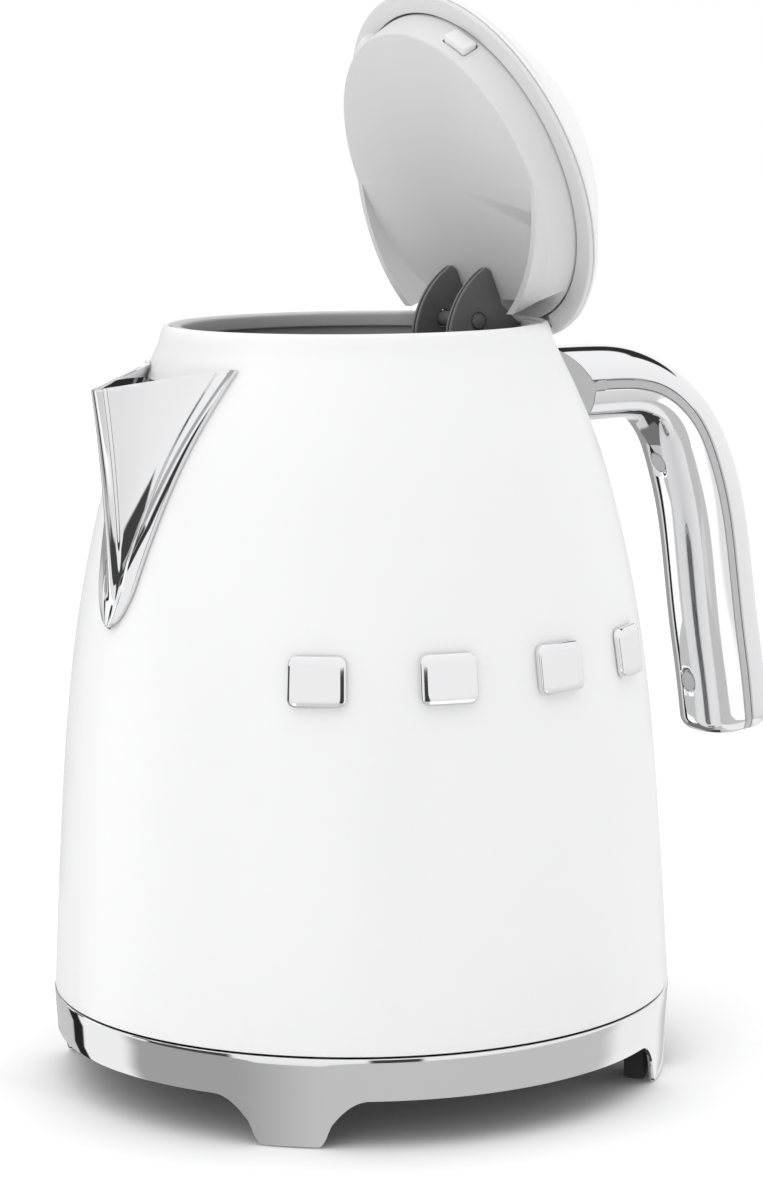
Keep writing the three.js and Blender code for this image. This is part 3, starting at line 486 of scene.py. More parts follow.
def screw_spots(screws):
    return [polar(screws["radius"], degrees, 0)[:2] for degrees in screws["degrees"]]


def screw_drills(screws, low, high):
    return [rod("drill", (x, y, low), (x, y, high), SCREW_BORE, 32) for x, y in screw_spots(screws)]


def screw(name, x, y, head, tip):
    """A pan-head screw, seen from below, with a cross recess."""
    profile = [(0, head), (3.2, head), (3.2, head + 1.2), (1.5, head + 1.2), (1.5, tip), (0, tip)]
    body = lathe(name, rounded(profile, 0.35, closed=False), 32, (x, y), closed=False)
    arms = [
        block("recess", (x - 1.7, y - 0.35, head - 1), (x + 1.7, y + 0.35, head + 0.6)),
        block("recess", (x - 0.35, y - 1.7, head - 1), (x + 0.35, y + 1.7, head + 0.6)),
    ]
    return combine(body, arms)


def cord_gland():
    half, bore_r, bore_z = 7, 3.2, 7.4
    body = soften(block("cord_inlet_gland", (-half, 72, 3), (half, 82.3, 12.7)), 1.0)
    return combine(body, [rod("bore", (0, 60, bore_z), (0, 95, bore_z), bore_r, 32)])


def base_connector():
    gap = HUB["width"] / 2 + GAP
    inner, outer = HUB["rings"]
    top, groove = HUB["top"], HUB["groove"]
    bore, low, foot_r = HUB["pin"] + GAP, HUB["low"], 20
    profile = [(bore, low), (foot_r, low), (foot_r, low + 2), (HUB["r"], low + 2), (HUB["r"], top)]
    for radius in (outer, inner):
        profile += [(radius + gap, top), (radius + gap, groove), (radius - gap, groove), (radius - gap, top)]
    profile.append((bore, top))
    return lathe("connector_hub", rounded(profile, 0.35, 3), 120)


def contact_ring(name, radius):
    half = HUB["width"] / 2
    return disc(f"{name}_contact", radius - half, radius + half, HUB["groove"] + GAP, 30.6, 0.3, 120)


# ---------- jug ----------
def body_shell():
    outside = list(WALL_CURVE)
    outside[0:1] = [(84.95, JUG_BOTTOM), (85.2, JUG_BOTTOM + 0.12), (85.28, JUG_BOTTOM + 0.5)]
    inside = [(r - WALL, z) for r, z in WALL_CURVE[::-1]]
    shell = lathe("enamelled_jug", outside + LIP + inside)
    mouth = prism("mouth", [(-8, 148), (8, 148), (19, 193), (-19, 193)], "x", -95, -30)
    gauge = prism("gauge", slot_outline(GAUGE["half"], GAUGE["low"], GAUGE["high"]), "x", 60, 95)
    return combine(shell, [mouth, gauge, lever_slot(70, 95)])


def lever_slot(inner, outer):
    return block("slot", (inner, -LEVER["slot"], LEVER["low"]), (outer, LEVER["slot"], LEVER["high"]))


def paint_inside(shell, bare):
    """The painted shell shows bare steel on its inner side."""
    shell.data.materials.append(bare)
    for face in shell.data.polygons:
        x, y, z = face.center / MM
        radius = math.hypot(x - AXIS_X, y)
        outward = (face.normal.x * (x - AXIS_X) + face.normal.y * y) / max(radius, 1)
        if radius < jug_radius(z) - WALL * 0.5 and outward < 0.1 and z < 204:
            face.material_index = 1


def neck_collar():
    c = COLLAR
    profile = [
        (c["skirt_r"] - 1.6, c["skirt"]), (c["skirt_r"], c["skirt"]), (c["skirt_r"], c["step"] - 1),
        (c["outer"], c["step"] + 1), (c["outer"], c["top"]), (c["inner"], c["top"]),
        (c["inner"], c["step"]), (c["skirt_r"] - 1.6, c["step"]),
    ]
    collar = lathe("mouth_collar", rounded(profile, [0.3, 0.3, 0.3, 0.3, 0.5, 0.9, 0.5, 0.3]))
    pocket = block("pocket", (38, -POCKET_HALF, 190), (60, POCKET_HALF, 212))
    return combine(collar, [pocket])


def hinge_bracket():
    cheek = [
        (44.6, 196.5), (50, 184), (53.8, 184), (53.8, 194), (51.2, 199.4), (49.6, 202.3), (45.2, 202.9),
    ]
    outline = rounded(cheek, 1.2)
    left = prism("hinge_cheeks", outline, "y", -12.5, -10.3)
    right = prism("cheek", outline, "y", 10.3, 12.5)
    back = block("back", (52.2, -11, 184), (53.8, 11, 193.5))
    body = combine(left, [right, back], "UNION")
    bore = rod("bore", (HINGE.x, -20, HINGE.z), (HINGE.x, 20, HINGE.z), 1.9, 32)
    return soften(combine(body, [bore]), 0.25, 2)


def lid_spring():
    return coil("lid_torsion_spring", lambda a, b, c: (HINGE.x + a, c, HINGE.z + b), 3.2, 5, -5, 0.5)


# ---------- spout ----------
def spout_half(z):
    if z >= SPOUT["bend"]:
        return SPOUT["corner_half"] - SPOUT["flare"] * (SPOUT["corner_z"] - z)
    rise = max(z - SPOUT["bottom"], 0) / (SPOUT["bend"] - SPOUT["bottom"])
    return spout_half(SPOUT["bend"]) * math.sqrt(rise)


def spout_ridge(z):
    return -(77.1 + 0.00114 * (z - 132) ** 2)


def spout_line(z):
    """Half of the spout's level section, from the jug round the flare and down the panel to the nose."""
    half = max(spout_half(z), 0.05)
    radius = jug_radius(z) + GAP + SPOUT_SHEET
    flare = min(5.5, half * 0.55)
    foot = Vector((-math.sqrt(radius**2 - half**2), half))
    bend = Vector((-math.sqrt(radius**2 - (half - flare) ** 2) - 0.35, half - flare))
    ridge = min(spout_ridge(z), -radius - 0.15)
    cut = min(2.6, (bend - Vector((ridge, 0))).length * 0.45)
    nose = Vector((ridge, 0))
    for _ in range(3):
        flank = (nose - bend).normalized()
        nose.x = ridge + cut * flank.x / 2
    reach = min(flare * 0.95, (nose - bend).length * 0.5)
    back = (foot - bend).normalized()
    flare_arc = [quadratic(bend + back * reach, bend, bend + flank * reach, k / 24) for k in range(25)]
    flank_end = nose - flank * cut
    mirrored = Vector((flank_end.x, -flank_end.y))
    nose_arc = [quadratic(flank_end, nose, mirrored, k / 24) for k in range(13)]
    return sink_panel([foot, *flare_arc, *nose_arc])


def sink_panel(line):
    """Respaces a half section and sinks its flat middle, which leaves a bead along the jug and the nose."""
    steps = [(b - a).length for a, b in zip(line, line[1:])]
    places = np.concatenate([[0], np.cumsum(steps)])
    length = places[-1]
    start, stop = min(SPOUT_BEAD["jug"], length * 0.4), length - min(SPOUT_BEAD["nose"], length * 0.3)
    slope = min(SPOUT_BEAD["slope"], (stop - start) / 3)
    room = stop - start - 2 * slope
    depth = SPOUT_BEAD["depth"] * min(max(room / 4, 0), 1)
    knots = [0, start, start + slope, stop - slope, stop, length]
    spots = []
    for (low, high), count in zip(zip(knots, knots[1:]), (14, 8, 6, 8, 10)):
        spots += [low + (high - low) * k / count for k in range(count)]
    points = []

    def along(spot):
        return np.array([np.interp(spot, places, [p[i] for p in line]) for i in (0, 1)])

    for spot in spots + [length]:
        way = along(min(spot + 0.1, length)) - along(max(spot - 0.1, 0))
        sunk = depth * min(ease((spot - start) / slope), ease((stop - spot) / slope))
        out = Vector((way[1], -way[0])).normalized()
        points.append(Vector(along(spot)) - out * sunk)
    return points


def ease(t):
    """0 up to 0, 1 from 1 on, smoothly between."""
    t = min(max(t, 0), 1)
    return t * t * (3 - 2 * t)


def quadratic(a, b, c, t):
    return a * (1 - t) ** 2 + b * 2 * t * (1 - t) + c * t**2


def spout():
    rows = 90
    low, high = SPOUT["bottom"], SPOUT["top"] + 2
    levels = [low + 0.02 + (high - low) * (k / rows) ** 1.5 for k in range(rows + 1)]
    points, faces = [], []
    for z in levels:
        line = spout_line(z)
        whole = line + [Vector((p.x, -p.y)) for p in line[-2::-1]]
        points += [(p.x, p.y, z) for p in whole]
    count = len(points) // len(levels)
    for i in range(rows):
        for j in range(count - 1):
            a = i * count + j
            faces.append([a, a + 1, a + count + 1, a + count])
    sheet = build("v_spout", points, faces)
    trim_above_lip(sheet)
    step = sheet.modifiers.new("sheet", "SOLIDIFY")
    step.thickness = SPOUT_SHEET * MM
    step.offset = -1
    step.use_even_offset = True
    face_outward(sheet)
    bake_modifiers(sheet)
    return soften(sheet, 0.35, 3, angle=60, crease=60)


def trim_above_lip(sheet):
    """Cuts the sheet along the plane of the lip, which slopes down from its two corners to its tip."""
    rise = (SPOUT["corner_z"] - SPOUT_TIP[1]) / (SPOUT_CORNER_X - SPOUT_TIP[0])
    normal = Vector((-rise, 0, 1)).normalized()
    tip = metres((SPOUT_TIP[0], 0, SPOUT_TIP[1]))

    def trim(work):
        everything = work.verts[:] + work.edges[:] + work.faces[:]
        bmesh.ops.bisect_plane(work, geom=everything, plane_co=tip, plane_no=normal, clear_outer=True)

    rework(sheet.data, trim)


def face_outward(sheet):
    """Turns an open sheet's faces away from the jug's axis."""
    mesh = sheet.data
    lean = sum(f.normal.x * (f.center.x / MM - AXIS_X) + f.normal.y * f.center.y / MM for f in mesh.polygons)
    if lean < 0:
        mesh.flip_normals()


# ---------- handle ----------
HANDLE_CURVE = smooth_curve(HANDLE_LINE, 90)


def handle_stations():
    """Along the handle: centre, direction, half-thickness and scale, with the free end closed round."""
    stations = []
    last = len(HANDLE_CURVE) - 1
    for i, (x, z, half) in enumerate(HANDLE_CURVE):
        ahead, behind = HANDLE_CURVE[min(i + 1, last)], HANDLE_CURVE[max(i - 1, 0)]
        along = Vector((ahead[0] - behind[0], 0, ahead[1] - behind[1])).normalized()
        stations.append((Vector((x, 0, z)), along, half, 1.0))
    centre, along, half, _ = stations[-1]
    reach = centre.z - HANDLE_END
    end = []
    for place, scale in end_profile():
        end.append((centre + along * reach * place, along, half, scale))
    return stations + end


def end_profile():
    """How the free end closes: a round corner, then a low dome; pairs of reach and scale."""
    corner, dome, turn_end = 0.72, 0.3, 0.86
    quarter = math.pi / 2
    turns = [quarter * k / 10 for k in range(1, 11)]
    steps = [(turn_end * math.sin(a), 1 - (1 - corner) * (1 - math.cos(a))) for a in turns]
    for k in range(1, 7):
        t = k / 6
        steps.append((turn_end + (1 - turn_end) * math.sin(t * quarter), corner + (dome - corner) * t))
    return steps


def section_point(station, angle, shrink=0.0):
    """A point on the rounded section; angle 0 is +Y and 90 degrees the outside of the bend."""
    centre, along, half, scale = station
    out = Vector((-along.z, 0, along.x))
    side, rise = (
        math.copysign(abs(turn) ** (2 / SQUARENESS), turn) * (reach * scale - shrink)
        for turn, reach in ((math.cos(angle), HANDLE_HALF_WIDTH), (math.sin(angle), half))
    )
    return centre + out * rise + Vector((0, side, 0))


def shell_angle(station, distance):
    """Section angle at which the surface is a given distance out from the centre line."""
    rise = min(distance / (station[2] * station[3]), 0.98)
    return math.asin(rise ** (SQUARENESS / 2))


def handle_shell(name, side):
    """One of the two chrome shells; side is 1 for the outside of the bend and -1 for its inside."""
    rings = []
    edge = 0.35
    for station in handle_stations():
        out = Vector((-station[1].z, 0, station[1].x))
        start = shell_angle(station, BAND_HALF + edge)
        angles = [start + (math.pi - 2 * start) * k / 40 for k in range(41)]
        outer = [section_point(station, side * a) for a in angles]
        floor = station[0] + out * side * BAND_HALF
        left = outer[0].copy()
        right = outer[-1].copy()
        close_left = Vector((floor.x, left.y - math.copysign(edge, left.y), floor.z))
        close_right = Vector((floor.x, right.y - math.copysign(edge, right.y), floor.z))
        ring = [close_right.lerp(close_left, k / 6) for k in range(7)] + outer
        rings.append(ring)
    return skin(name, rings)


def handle_band():
    """The grey core, which shows as a band between the shells."""
    rings = []
    inset = 0.25
    for station in handle_stations():
        out = Vector((-station[1].z, 0, station[1].x))
        width = HANDLE_HALF_WIDTH * station[3] - inset
        edge = 0.25
        thick = BAND_HALF - 0.15
        outline = [(width, -thick + edge), (width, thick - edge), (width - edge, thick)]
        outline += [(-width + edge, thick), (-width, thick - edge), (-width, -thick + edge)]
        outline += [(-width + edge, -thick), (width - edge, -thick)]
        rings.append([station[0] + out * n + Vector((0, y, 0)) for y, n in outline])
    return skin("handle_grey_core", rings)


def flange_outline(grow=0.0):
    """Side view of the grey block that carries the handle on the jug, as (x, z) points."""
    x = FLANGE_X + grow
    outline = [(45, 168), (x, 168), (x, 185.2), (x + 4, 185.2), (x + 4, 187.9), (x + 1, 187.9)]
    outline = rounded(outline, [0, 0, 1.2, 0, 0, 1.6])
    upper = [(x - 4.2, 192.2), (x - 8.2, 196.2), (x - 12.8, 198.4), (45, 199.5)]
    return outline + upper


def handle_flange():
    rings = []
    for station in handle_stations()[:FLANGE_STATIONS]:
        rings.append([section_point(station, 2 * math.pi * k / 72, -0.15) for k in range(72)])
    body = skin("flange", rings)
    return combine(body, [prism("side_view", flange_outline(), "y", -30, 30)], "INTERSECT")


def jug_keep_out():
    profile = [(0, 150)] + [(r + GAP, z) for r, z in WALL_CURVE if z > 150] + [(0, WALL_HEIGHTS[-1])]
    return lathe("jug_space", profile, closed=False)


def inner_face(x, z):
    """The nearest point of the handle's inner face and the direction out of it."""
    spots = []
    for centre, along, half, _ in handle_stations()[: len(HANDLE_CURVE)]:
        out = Vector((-along.z, 0, along.x))
        face = centre - out * half
        spots.append(((face - Vector((x, 0, z))).length, face, -out))
    _, face, inward = min(spots, key=lambda spot: spot[0])
    return face, inward


def handle_pieces():
    outer = handle_shell("handle_outer_chrome", 1)
    inner = handle_shell("handle_inner_chrome", -1)
    core = combine(handle_band(), [handle_flange()], "UNION")
    for shell in (outer, inner):
        combine(shell, [prism("side_view", flange_outline(GAP), "y", -30, 30), jug_keep_out()])
    core = combine(core, [jug_keep_out()])
    seats = {name: inner_face(*spot) for name, spot in HANDLE_CAPS.items()}
    for face, inward in seats.values():
        profile = [(0, -1.3), (3.25, -1.3), (3.25, -0.25), (4.6, 0.6), (4.6, 3), (0, 3)]
        combine(inner, [lathe_along("dish", profile, face, inward)])
    caps = {name: handle_cap(name, *seat) for name, seat in seats.items()}
    screws = {name: handle_screw(name, *seat) for name, seat in seats.items()}
    return outer, inner, core, caps, screws


def handle_cap(name, face, inward):
    profile = rounded([(0, -1.0), (2.95, -1.0), (2.95, 0.1), (0, 0.35)], [0, 0.2, 0.5, 0], closed=False)
    return lathe_along(f"screw_cover_{name}", profile, face, inward)


def handle_screw(name, face, inward):
    profile = rounded([(0, -12), (1.5, -12), (1.5, -1.5), (0, -1.5)], 0.2, closed=False)
    return lathe_along(f"handle_fixing_{name}", profile, face, inward, 32)


# ---------- lid, drawn closed ----------
def dome_point(degrees, inset=0.0):
    angle = math.radians(degrees)
    return (
        (DOME["r"] - inset) * math.cos(angle) ** 0.96,
        DOME["z"] + (DOME["rise"] - inset) * math.sin(angle) ** 1.81,
    )


def lid_dome():
    opening = BUTTON["r"] + 0.4
    outside = [dome_point(degrees) for degrees in range(12, 76, 2)]
    outside = [p for p in outside if p[0] > opening + 0.6]
    top = 234.75
    foot = smooth_curve([(DOME["rim_r"], DOME["rim"] + 0.7), (51.2, 210), (50.1, 211.4), outside[0]], 10)
    inside = [dome_point(degrees, DOME["sheet"]) for degrees in range(70, 6, -3)]
    inside = [p for p in inside if p[0] > opening + 0.6]
    profile = [
        (DOME["rim_r"] - 2.2, DOME["rim"]), (DOME["rim_r"] - 0.6, DOME["rim"]),
        (DOME["rim_r"] - 0.15, DOME["rim"] + 0.2), *foot[:-1], *outside,
        (opening + 0.3, top), (opening, top - 0.3), (opening, top - 1.6), *inside,
        (DOME["rim_r"] - 2.6, 210.6),
    ]
    return lathe("lid_painted_dome", profile, lid=True)


def lid_trim_ring():
    low, high = TRIM["low"], TRIM["high"]
    profile = [(TRIM["inner"], low), (TRIM["outer"], low), (TRIM["outer"], high), (TRIM["inner"], high)]
    ring = lathe("lid_edge_ring", rounded(profile, [0.4, 1.1, 0.25, 0.3], 6), lid=True)
    gap = block("gap", (30, -TRIM["gap"], 200), (60, TRIM["gap"], 215), lid=True)
    return combine(ring, [gap])


def lid_liner():
    """The lid's inner cup: a drum whose side runs on down into two wings beside the hinge ears."""
    face_r, face, flange_r = LINER["face_r"], LINER["face"], LINER["flange_r"]
    wall, chord, flange = LINER["wall"], LINER["chord"], LINER["flange"]
    web_low, web_high = 207.1, 208.3
    inner = face + wall
    profile = [(0, face), (face_r, face), (flange_r, flange), (flange_r, web_high), (0, web_high)]
    drum = lathe("lid_inner_liner", rounded(profile, [0, 0.7, 0.3, 0.3, 0], 5, False), closed=False, lid=True)
    bowl_r = flange_r - wall
    bowl_profile = [(0, inner), (face_r - wall, inner), (bowl_r, flange), (bowl_r, 215), (0, 215)]
    bowl = lathe("bowl", bowl_profile, closed=False, lid=True)
    combine(bowl, [block("keep", (-60, -60, 190), (chord - wall, 60, 220), lid=True)], "INTERSECT")
    behind = block("behind", (chord, -60, 180), (60, 60, web_low), lid=True)
    hinge_space = rod("hinge_space", (HINGE.x, -17, HINGE.z), (HINGE.x, 17, HINGE.z), 8.4, lid=True)
    windows = [catch_block(f"window_{side}", side, 0.4, 30, 50) for side in (-1, 1)]
    combine(drum, [lid_wings(face_r - 0.02, inner - 0.6)], "UNION")
    combine(drum, [bowl, behind, hinge_space, *windows])
    sleeve = disc("sleeve", BUTTON["stem"] + 0.5, BUTTON["stem"] + 2, inner - 0.4, 213, 0.2, SMALL, lid=True)
    combine(drum, [sleeve], "UNION")
    return merge_close(drum, 0.03)


def lid_wings(outer, top):
    """The part of a thin skirt that lies above the slope from the drum's middle down to the hinge side."""
    skirt = disc("wings", WING["inner"], outer, 184, top, 0.05, lid=True)
    face, chord, low = LINER["face"], LINER["chord"], WING["low"]
    drop = (face - low) / chord
    slope = [(0, top + 1), (0, face + 0.2), (60, face + 0.2 - 60 * drop), (60, top + 1)]
    return combine(skirt, [prism("slope", slope, "y", -60, 60, lid=True)], "INTERSECT")


def catch_block(name, side, grow, inner, outer):
    """A latch catch, pointing out of the liner's skirt on the spout side."""
    half_w = CATCH["width"] / 2 + grow
    half_h = CATCH["height"] / 2 + grow
    turn = math.radians(180 + side * CATCH["turn"])
    corners = rounded([(-half_w, -half_h), (half_w, -half_h), (half_w, half_h), (-half_w, half_h)], 0.9)
    rings = []
    for reach in (inner, outer):
        ring = []
        for across, up in corners:
            x = reach * math.cos(turn) - across * math.sin(turn)
            y = reach * math.sin(turn) + across * math.cos(turn)
            ring.append((x, y, CATCH["z"] + up))
        rings.append(ring)
    return skin(name, rings, lid=True)


def hinge_arc(start, stop, radius, steps=24):
    """An arc about the hinge, from one angle in degrees to another, as (x, z) points."""
    turns = [start + (stop - start) * k / steps for k in range(steps + 1)]
    return [(HINGE.x + x, HINGE.z + z) for x, z, _ in (polar(radius, turn, 0) for turn in turns)]


def lid_arm(name, side):
    """A fan-shaped hinge ear with a grooved curved edge."""
    start, stop, radius, middle = ARM["from"], ARM["to"], ARM["radius"], side * ARM["y"]
    ends, half = 3, ARM["thick"] / 2
    boss = hinge_arc(-20, 115, ARM["boss"], 16)
    outline = [*hinge_arc(start, stop, radius), *boss, (36, LINER["face"] - GAP), (26, LINER["face"] - GAP)]
    plate = soften(prism(name, outline, "y", middle - half, middle + half, lid=True), 0.3, 3)
    start, stop = start + ends, stop - ends
    groove = hinge_arc(start, stop, radius + 1) + hinge_arc(stop, start, radius - 1.1)
    slot = prism("groove", groove, "y", middle - 0.35, middle + 0.35, lid=True)
    bores = [
        rod("bore", (x, -20, z), (x, 20, z), r, 32, lid=True)
        for x, z, r in ((HINGE.x, HINGE.z, 1.9), (*CROSS_PIN, 2.5))
    ]
    return combine(plate, [slot, *bores])


def lid_button():
    b = BUTTON
    profile = [
        (0, b["low"]), (b["stem"], b["low"]), (b["stem"], b["flange"]), (b["flange_r"], b["flange"]),
        (b["flange_r"], b["flange"] + 1.4), (b["r"], b["flange"] + 1.8), (b["r"], b["edge"]),
        (b["r"] * 0.6, b["top"] - 0.25), (b["r"] * 0.3, b["top"] - 0.05), (0, b["top"]),
    ]
    outline = rounded(profile, [0, 0.3, 0.3, 0.3, 0.3, 0.3, 0.8, 2, 2, 0], 5, closed=False)
    return lathe("lid_release_button", outline, 120, closed=False, lid=True)


def button_spring():
    return coil("button_return_spring", lambda a, b, c: (a, b, c), 7.6, 214, 226, 0.6, lid=True)


# ---------- inside the jug and its fittings ----------
def vessel_floor():
    plate = disc("vessel_base_plate", 0, jug_radius(FLOOR_Z) - WALL - 0.5, FLOOR_Z, FLOOR_Z + 1.2, 0.4)
    hole = rod("hole", (*STEAM_AT, 30), (*STEAM_AT, 60), STEAM["r"] + 0.4)
    return combine(plate, [hole])


def heater_element():
    steps = 72
    path = [
        polar(ELEMENT["r"], ELEMENT["start"] + ELEMENT["sweep"] * k / steps, ELEMENT["z"])
        for k in range(steps + 1)
    ]
    return wire("heating_ring", path, ELEMENT["wire"], 24)


def control_unit():
    puck = disc("boil_control", 0, 27, 36.3, 39.8, 0.5, 96)
    return combine(puck, [block("sides", (-30, -20, 30), (30, 20, 45))], "INTERSECT")


def connector_socket():
    s = SOCKET
    low = JUG_BOTTOM + 0.2
    profile = [
        (0, s["recess"]), (s["recess_r"], s["recess"]), (s["recess_r"], low),
        (s["r"], low), (s["r"], s["top"]), (0, s["top"]),
    ]
    return lathe("jug_socket", rounded(profile, 0.6, closed=False), 120, closed=False)


def jug_bottom_cover():
    edge = jug_radius(COVER_Z) - WALL - 0.6
    hole = SOCKET["r"] + 0.4
    top = COVER_Z + 1.8
    profile = [(hole, COVER_Z), (edge, COVER_Z), (edge, 31), (edge - 1.6, 31), (edge - 1.6, top), (hole, top)]
    plate = lathe("jug_underside_cover", rounded(profile, 0.4))
    return combine(plate, screw_drills(COVER_SCREWS, 20, 35))


def gauge_window():
    half, rim = GAUGE["half"] + GAUGE["rim"] - 1, GAUGE["rim"] - 1
    outline = slot_outline(half, GAUGE["low"] - rim, GAUGE["high"] + rim)
    return wall_plate("water_gauge_lens", outline, GAP, 1.3)


def gauge_gasket():
    half, rim = GAUGE["half"], GAUGE["rim"]
    outline = slot_outline(half + rim, GAUGE["low"] - rim, GAUGE["high"] + rim)
    plate = wall_plate("water_gauge_seal", outline, -3.2, -1.7)
    hole = prism("hole", slot_outline(half - 1, GAUGE["low"] + 1, GAUGE["high"] - 1), "x", 40, 110)
    return combine(plate, [hole])


def switch_bezel():
    corners = [(-12, 28.5), (12, 28.5), (12, 48.5), (-12, 48.5)]
    dense = []
    for start, end in zip(corners, corners[1:] + corners[:1]):
        dense += [tuple(Vector(start).lerp(Vector(end), k / 8)) for k in range(8)]
    plate = wall_plate("lever_surround", rounded(dense, 0.9, 2), GAP, 1.6)
    return combine(plate, [lever_slot(60, 110)])


def switch_lever():
    x, z, reach = LEVER["x"], LEVER["z"], LEVER["reach"]
    outline = [
        (x - 3, z - 3), (x + 2, z - 3.4), (reach - 4, z - 2.4), (reach, z - 0.8), (reach - 0.4, z + 2),
        (reach - 5, z + 2.6), (x + 2, z + 3.4), (x - 3, z + 3),
    ]
    return soften(prism("on_off_lever", rounded(outline, 1.0), "y", -LEVER["half"], LEVER["half"]), 1.0, 4)


def spout_filter():
    """A curved stainless plate of fine round holes behind the spout."""
    low, high = 146, 190
    inner, outer = -4.2, -2.6
    rows, columns = 44, 44
    points, faces = [], []
    for offset in (inner, outer):
        for i in range(rows + 1):
            z = low + (high - low) * i / rows
            half = 11 + 10 * i / rows
            for j in range(columns + 1):
                y = -half + 2 * half * j / columns
                radius = jug_radius(z) + offset
                points.append((-math.sqrt(radius**2 - y**2), y, z))
    wide = columns + 1
    sheet = (rows + 1) * wide

    def open_cell(i, j):
        inside = 3 < i < rows - 3 and 3 < j < columns - 3
        return inside and i % 3 != 0 and j % 3 != 0

    solid = {(i, j) for i in range(rows) for j in range(columns) if not open_cell(i, j)}
    for i, j in solid:
        a = i * wide + j
        faces.append([a, a + 1, a + wide + 1, a + wide])
        faces.append([sheet + a, sheet + a + wide, sheet + a + wide + 1, sheet + a + 1])
        beside, above = a + 1, a + wide
        sides = ((0, -1, a, above), (0, 1, beside, above + 1), (-1, 0, a, beside), (1, 0, above, above + 1))
        for di, dj, p, q in sides:
            if (i + di, j + dj) not in solid:
                faces.append([p, q, q + sheet, p + sheet])
    return build("scale_filter", points, faces)


def badge(number):
    """A blank raised tile that follows the jug's wall."""
    width, height, thick = BADGE["width"] / 2, BADGE["height"] / 2, BADGE["thick"]
    centre_angle = math.radians(BADGE["first"] + (number - 1) * BADGE["step"])
    base_radius = jug_radius(BADGE["z"])
    corner, edge = BADGE["round"], 0.55
    rings = []
    for depth, inset in ((0, 0), (thick - edge, 0), (thick - edge * 0.35, edge * 0.35), (thick, edge)):
        ring = tile_outline(width - inset, height - inset, corner - inset * 0.6)
        rings.append([bend_to_wall(u, v, depth, centre_angle, base_radius) for u, v in ring])
    inner = tile_outline(width - 2.2, height - 2.2, corner * 0.6)
    rings.append([bend_to_wall(u, v, thick, centre_angle, base_radius) for u, v in inner])
    return skin(f"blank_badge_{number}", rings, crease=40)


def tile_outline(half_w, half_h, corner, steps=8):
    outline = []
    for k, (sx, sy) in enumerate(((1, 1), (-1, 1), (-1, -1), (1, -1))):
        for i in range(steps + 1):
            angle = math.pi / 2 * (k + i / steps)
            middle = (sx * (half_w - corner), sy * (half_h - corner))
            outline.append((middle[0] + corner * math.cos(angle), middle[1] + corner * math.sin(angle)))
    dense = []
    for start, end in zip(outline, outline[1:] + outline[:1]):
        pieces = 6 if math.dist(start, end) > 3 else 1
        dense += [tuple(Vector(start).lerp(Vector(end), i / pieces)) for i in range(pieces)]
    return dense


def bend_to_wall(across, up, depth, centre_angle, base_radius):
    z = BADGE["z"] + up
    radius = jug_radius(z) + GAP + depth
    return polar(radius, math.degrees(centre_angle + across / base_radius), z)


# ---------- materials ----------
def material(name, colour, roughness, metallic=0.0, **sockets):
    """A principled material; further sockets are named with underscores for spaces."""
    made = bpy.data.materials.new(name)
    made.use_nodes = True
    shader = made.node_tree.nodes["Principled BSDF"]
    shader.inputs["Base Color"].default_value = (*colour, 1)
    shader.inputs["Roughness"].default_value = roughness
    shader.inputs["Metallic"].default_value = metallic
    for key, value in sockets.items():
        shader.inputs[key.replace("_", " ")].default_value = value
    return made


def shader_socket(made, name):
    return made.node_tree.nodes["Principled BSDF"].inputs[name]


def add(made, kind, **values):
    node = made.node_tree.nodes.new(kind)
    for key, value in values.items():
        setattr(node, key, value)
    return node


def link(made, start, end):
    made.node_tree.links.new(start, end)


def noise(made, scale, detail=3.0, stretch=(1, 1, 1)):
    """Noise over the piece's own space, in metres."""
    place = add(made, "ShaderNodeTexCoord")
    mapping = add(made, "ShaderNodeMapping")
    mapping.inputs["Scale"].default_value = stretch
    texture = add(made, "ShaderNodeTexNoise")
    texture.inputs["Scale"].default_value = scale
    texture.inputs["Detail"].default_value = detail
    link(made, place.outputs["Object"], mapping.inputs["Vector"])
    link(made, mapping.outputs["Vector"], texture.inputs["Vector"])
    return texture.outputs["Fac"]


def spread(made, value, low, high):
    """Maps a noise value, which lies mostly between 0.3 and 0.7, onto a range."""
    return map_range(made.node_tree, value, (0.3, 0.7), (low, high))


def map_range(tree, value, given, wanted=(0, 1), interpolation="LINEAR"):
    """Maps one range of a socket's value onto another, and holds it at their ends."""
    node = tree.nodes.new("ShaderNodeMapRange")
    node.interpolation_type = interpolation
    names = ("From Min", "From Max", "To Min", "To Max")
    for name, level in zip(names, (*given, *wanted)):
        node.inputs[name].default_value = level
    tree.links.new(value, node.inputs["Value"])
    return node.outputs["Result"]


def bumps(made, value, depth):
    """Adds a bump of a depth in millimetres."""
    bump = add(made, "ShaderNodeBump")
    bump.inputs["Strength"].default_value = 1.0
    bump.inputs["Distance"].default_value = depth * MM
    link(made, value, bump.inputs["Height"])
    link(made, bump.outputs["Normal"], shader_socket(made, "Normal"))


def tinted(made, value, dark, light):
    """Colour that varies a little between two tones."""
    mix = add(made, "ShaderNodeMix", data_type="RGBA")
    mix.inputs["A"].default_value = (*dark, 1)
    mix.inputs["B"].default_value = (*light, 1)
    link(made, value, mix.inputs["Factor"])
    link(made, mix.outputs["Result"], shader_socket(made, "Base Color"))


def roughened(made, value, low, high):
    link(made, spread(made, value, low, high), shader_socket(made, "Roughness"))


def enamel():
    """White powder coat: satin, with a faint orange peel."""
    made = material("white_enamel", (0.87, 0.87, 0.87), 0.36, Coat_Weight=0.15, Coat_Roughness=0.18)
    peel = noise(made, 900, 2)
    bumps(made, peel, 0.012)
    roughened(made, noise(made, 60), 0.33, 0.41)
    tinted(made, noise(made, 14), (0.862, 0.863, 0.866), (0.882, 0.882, 0.882))
    return made


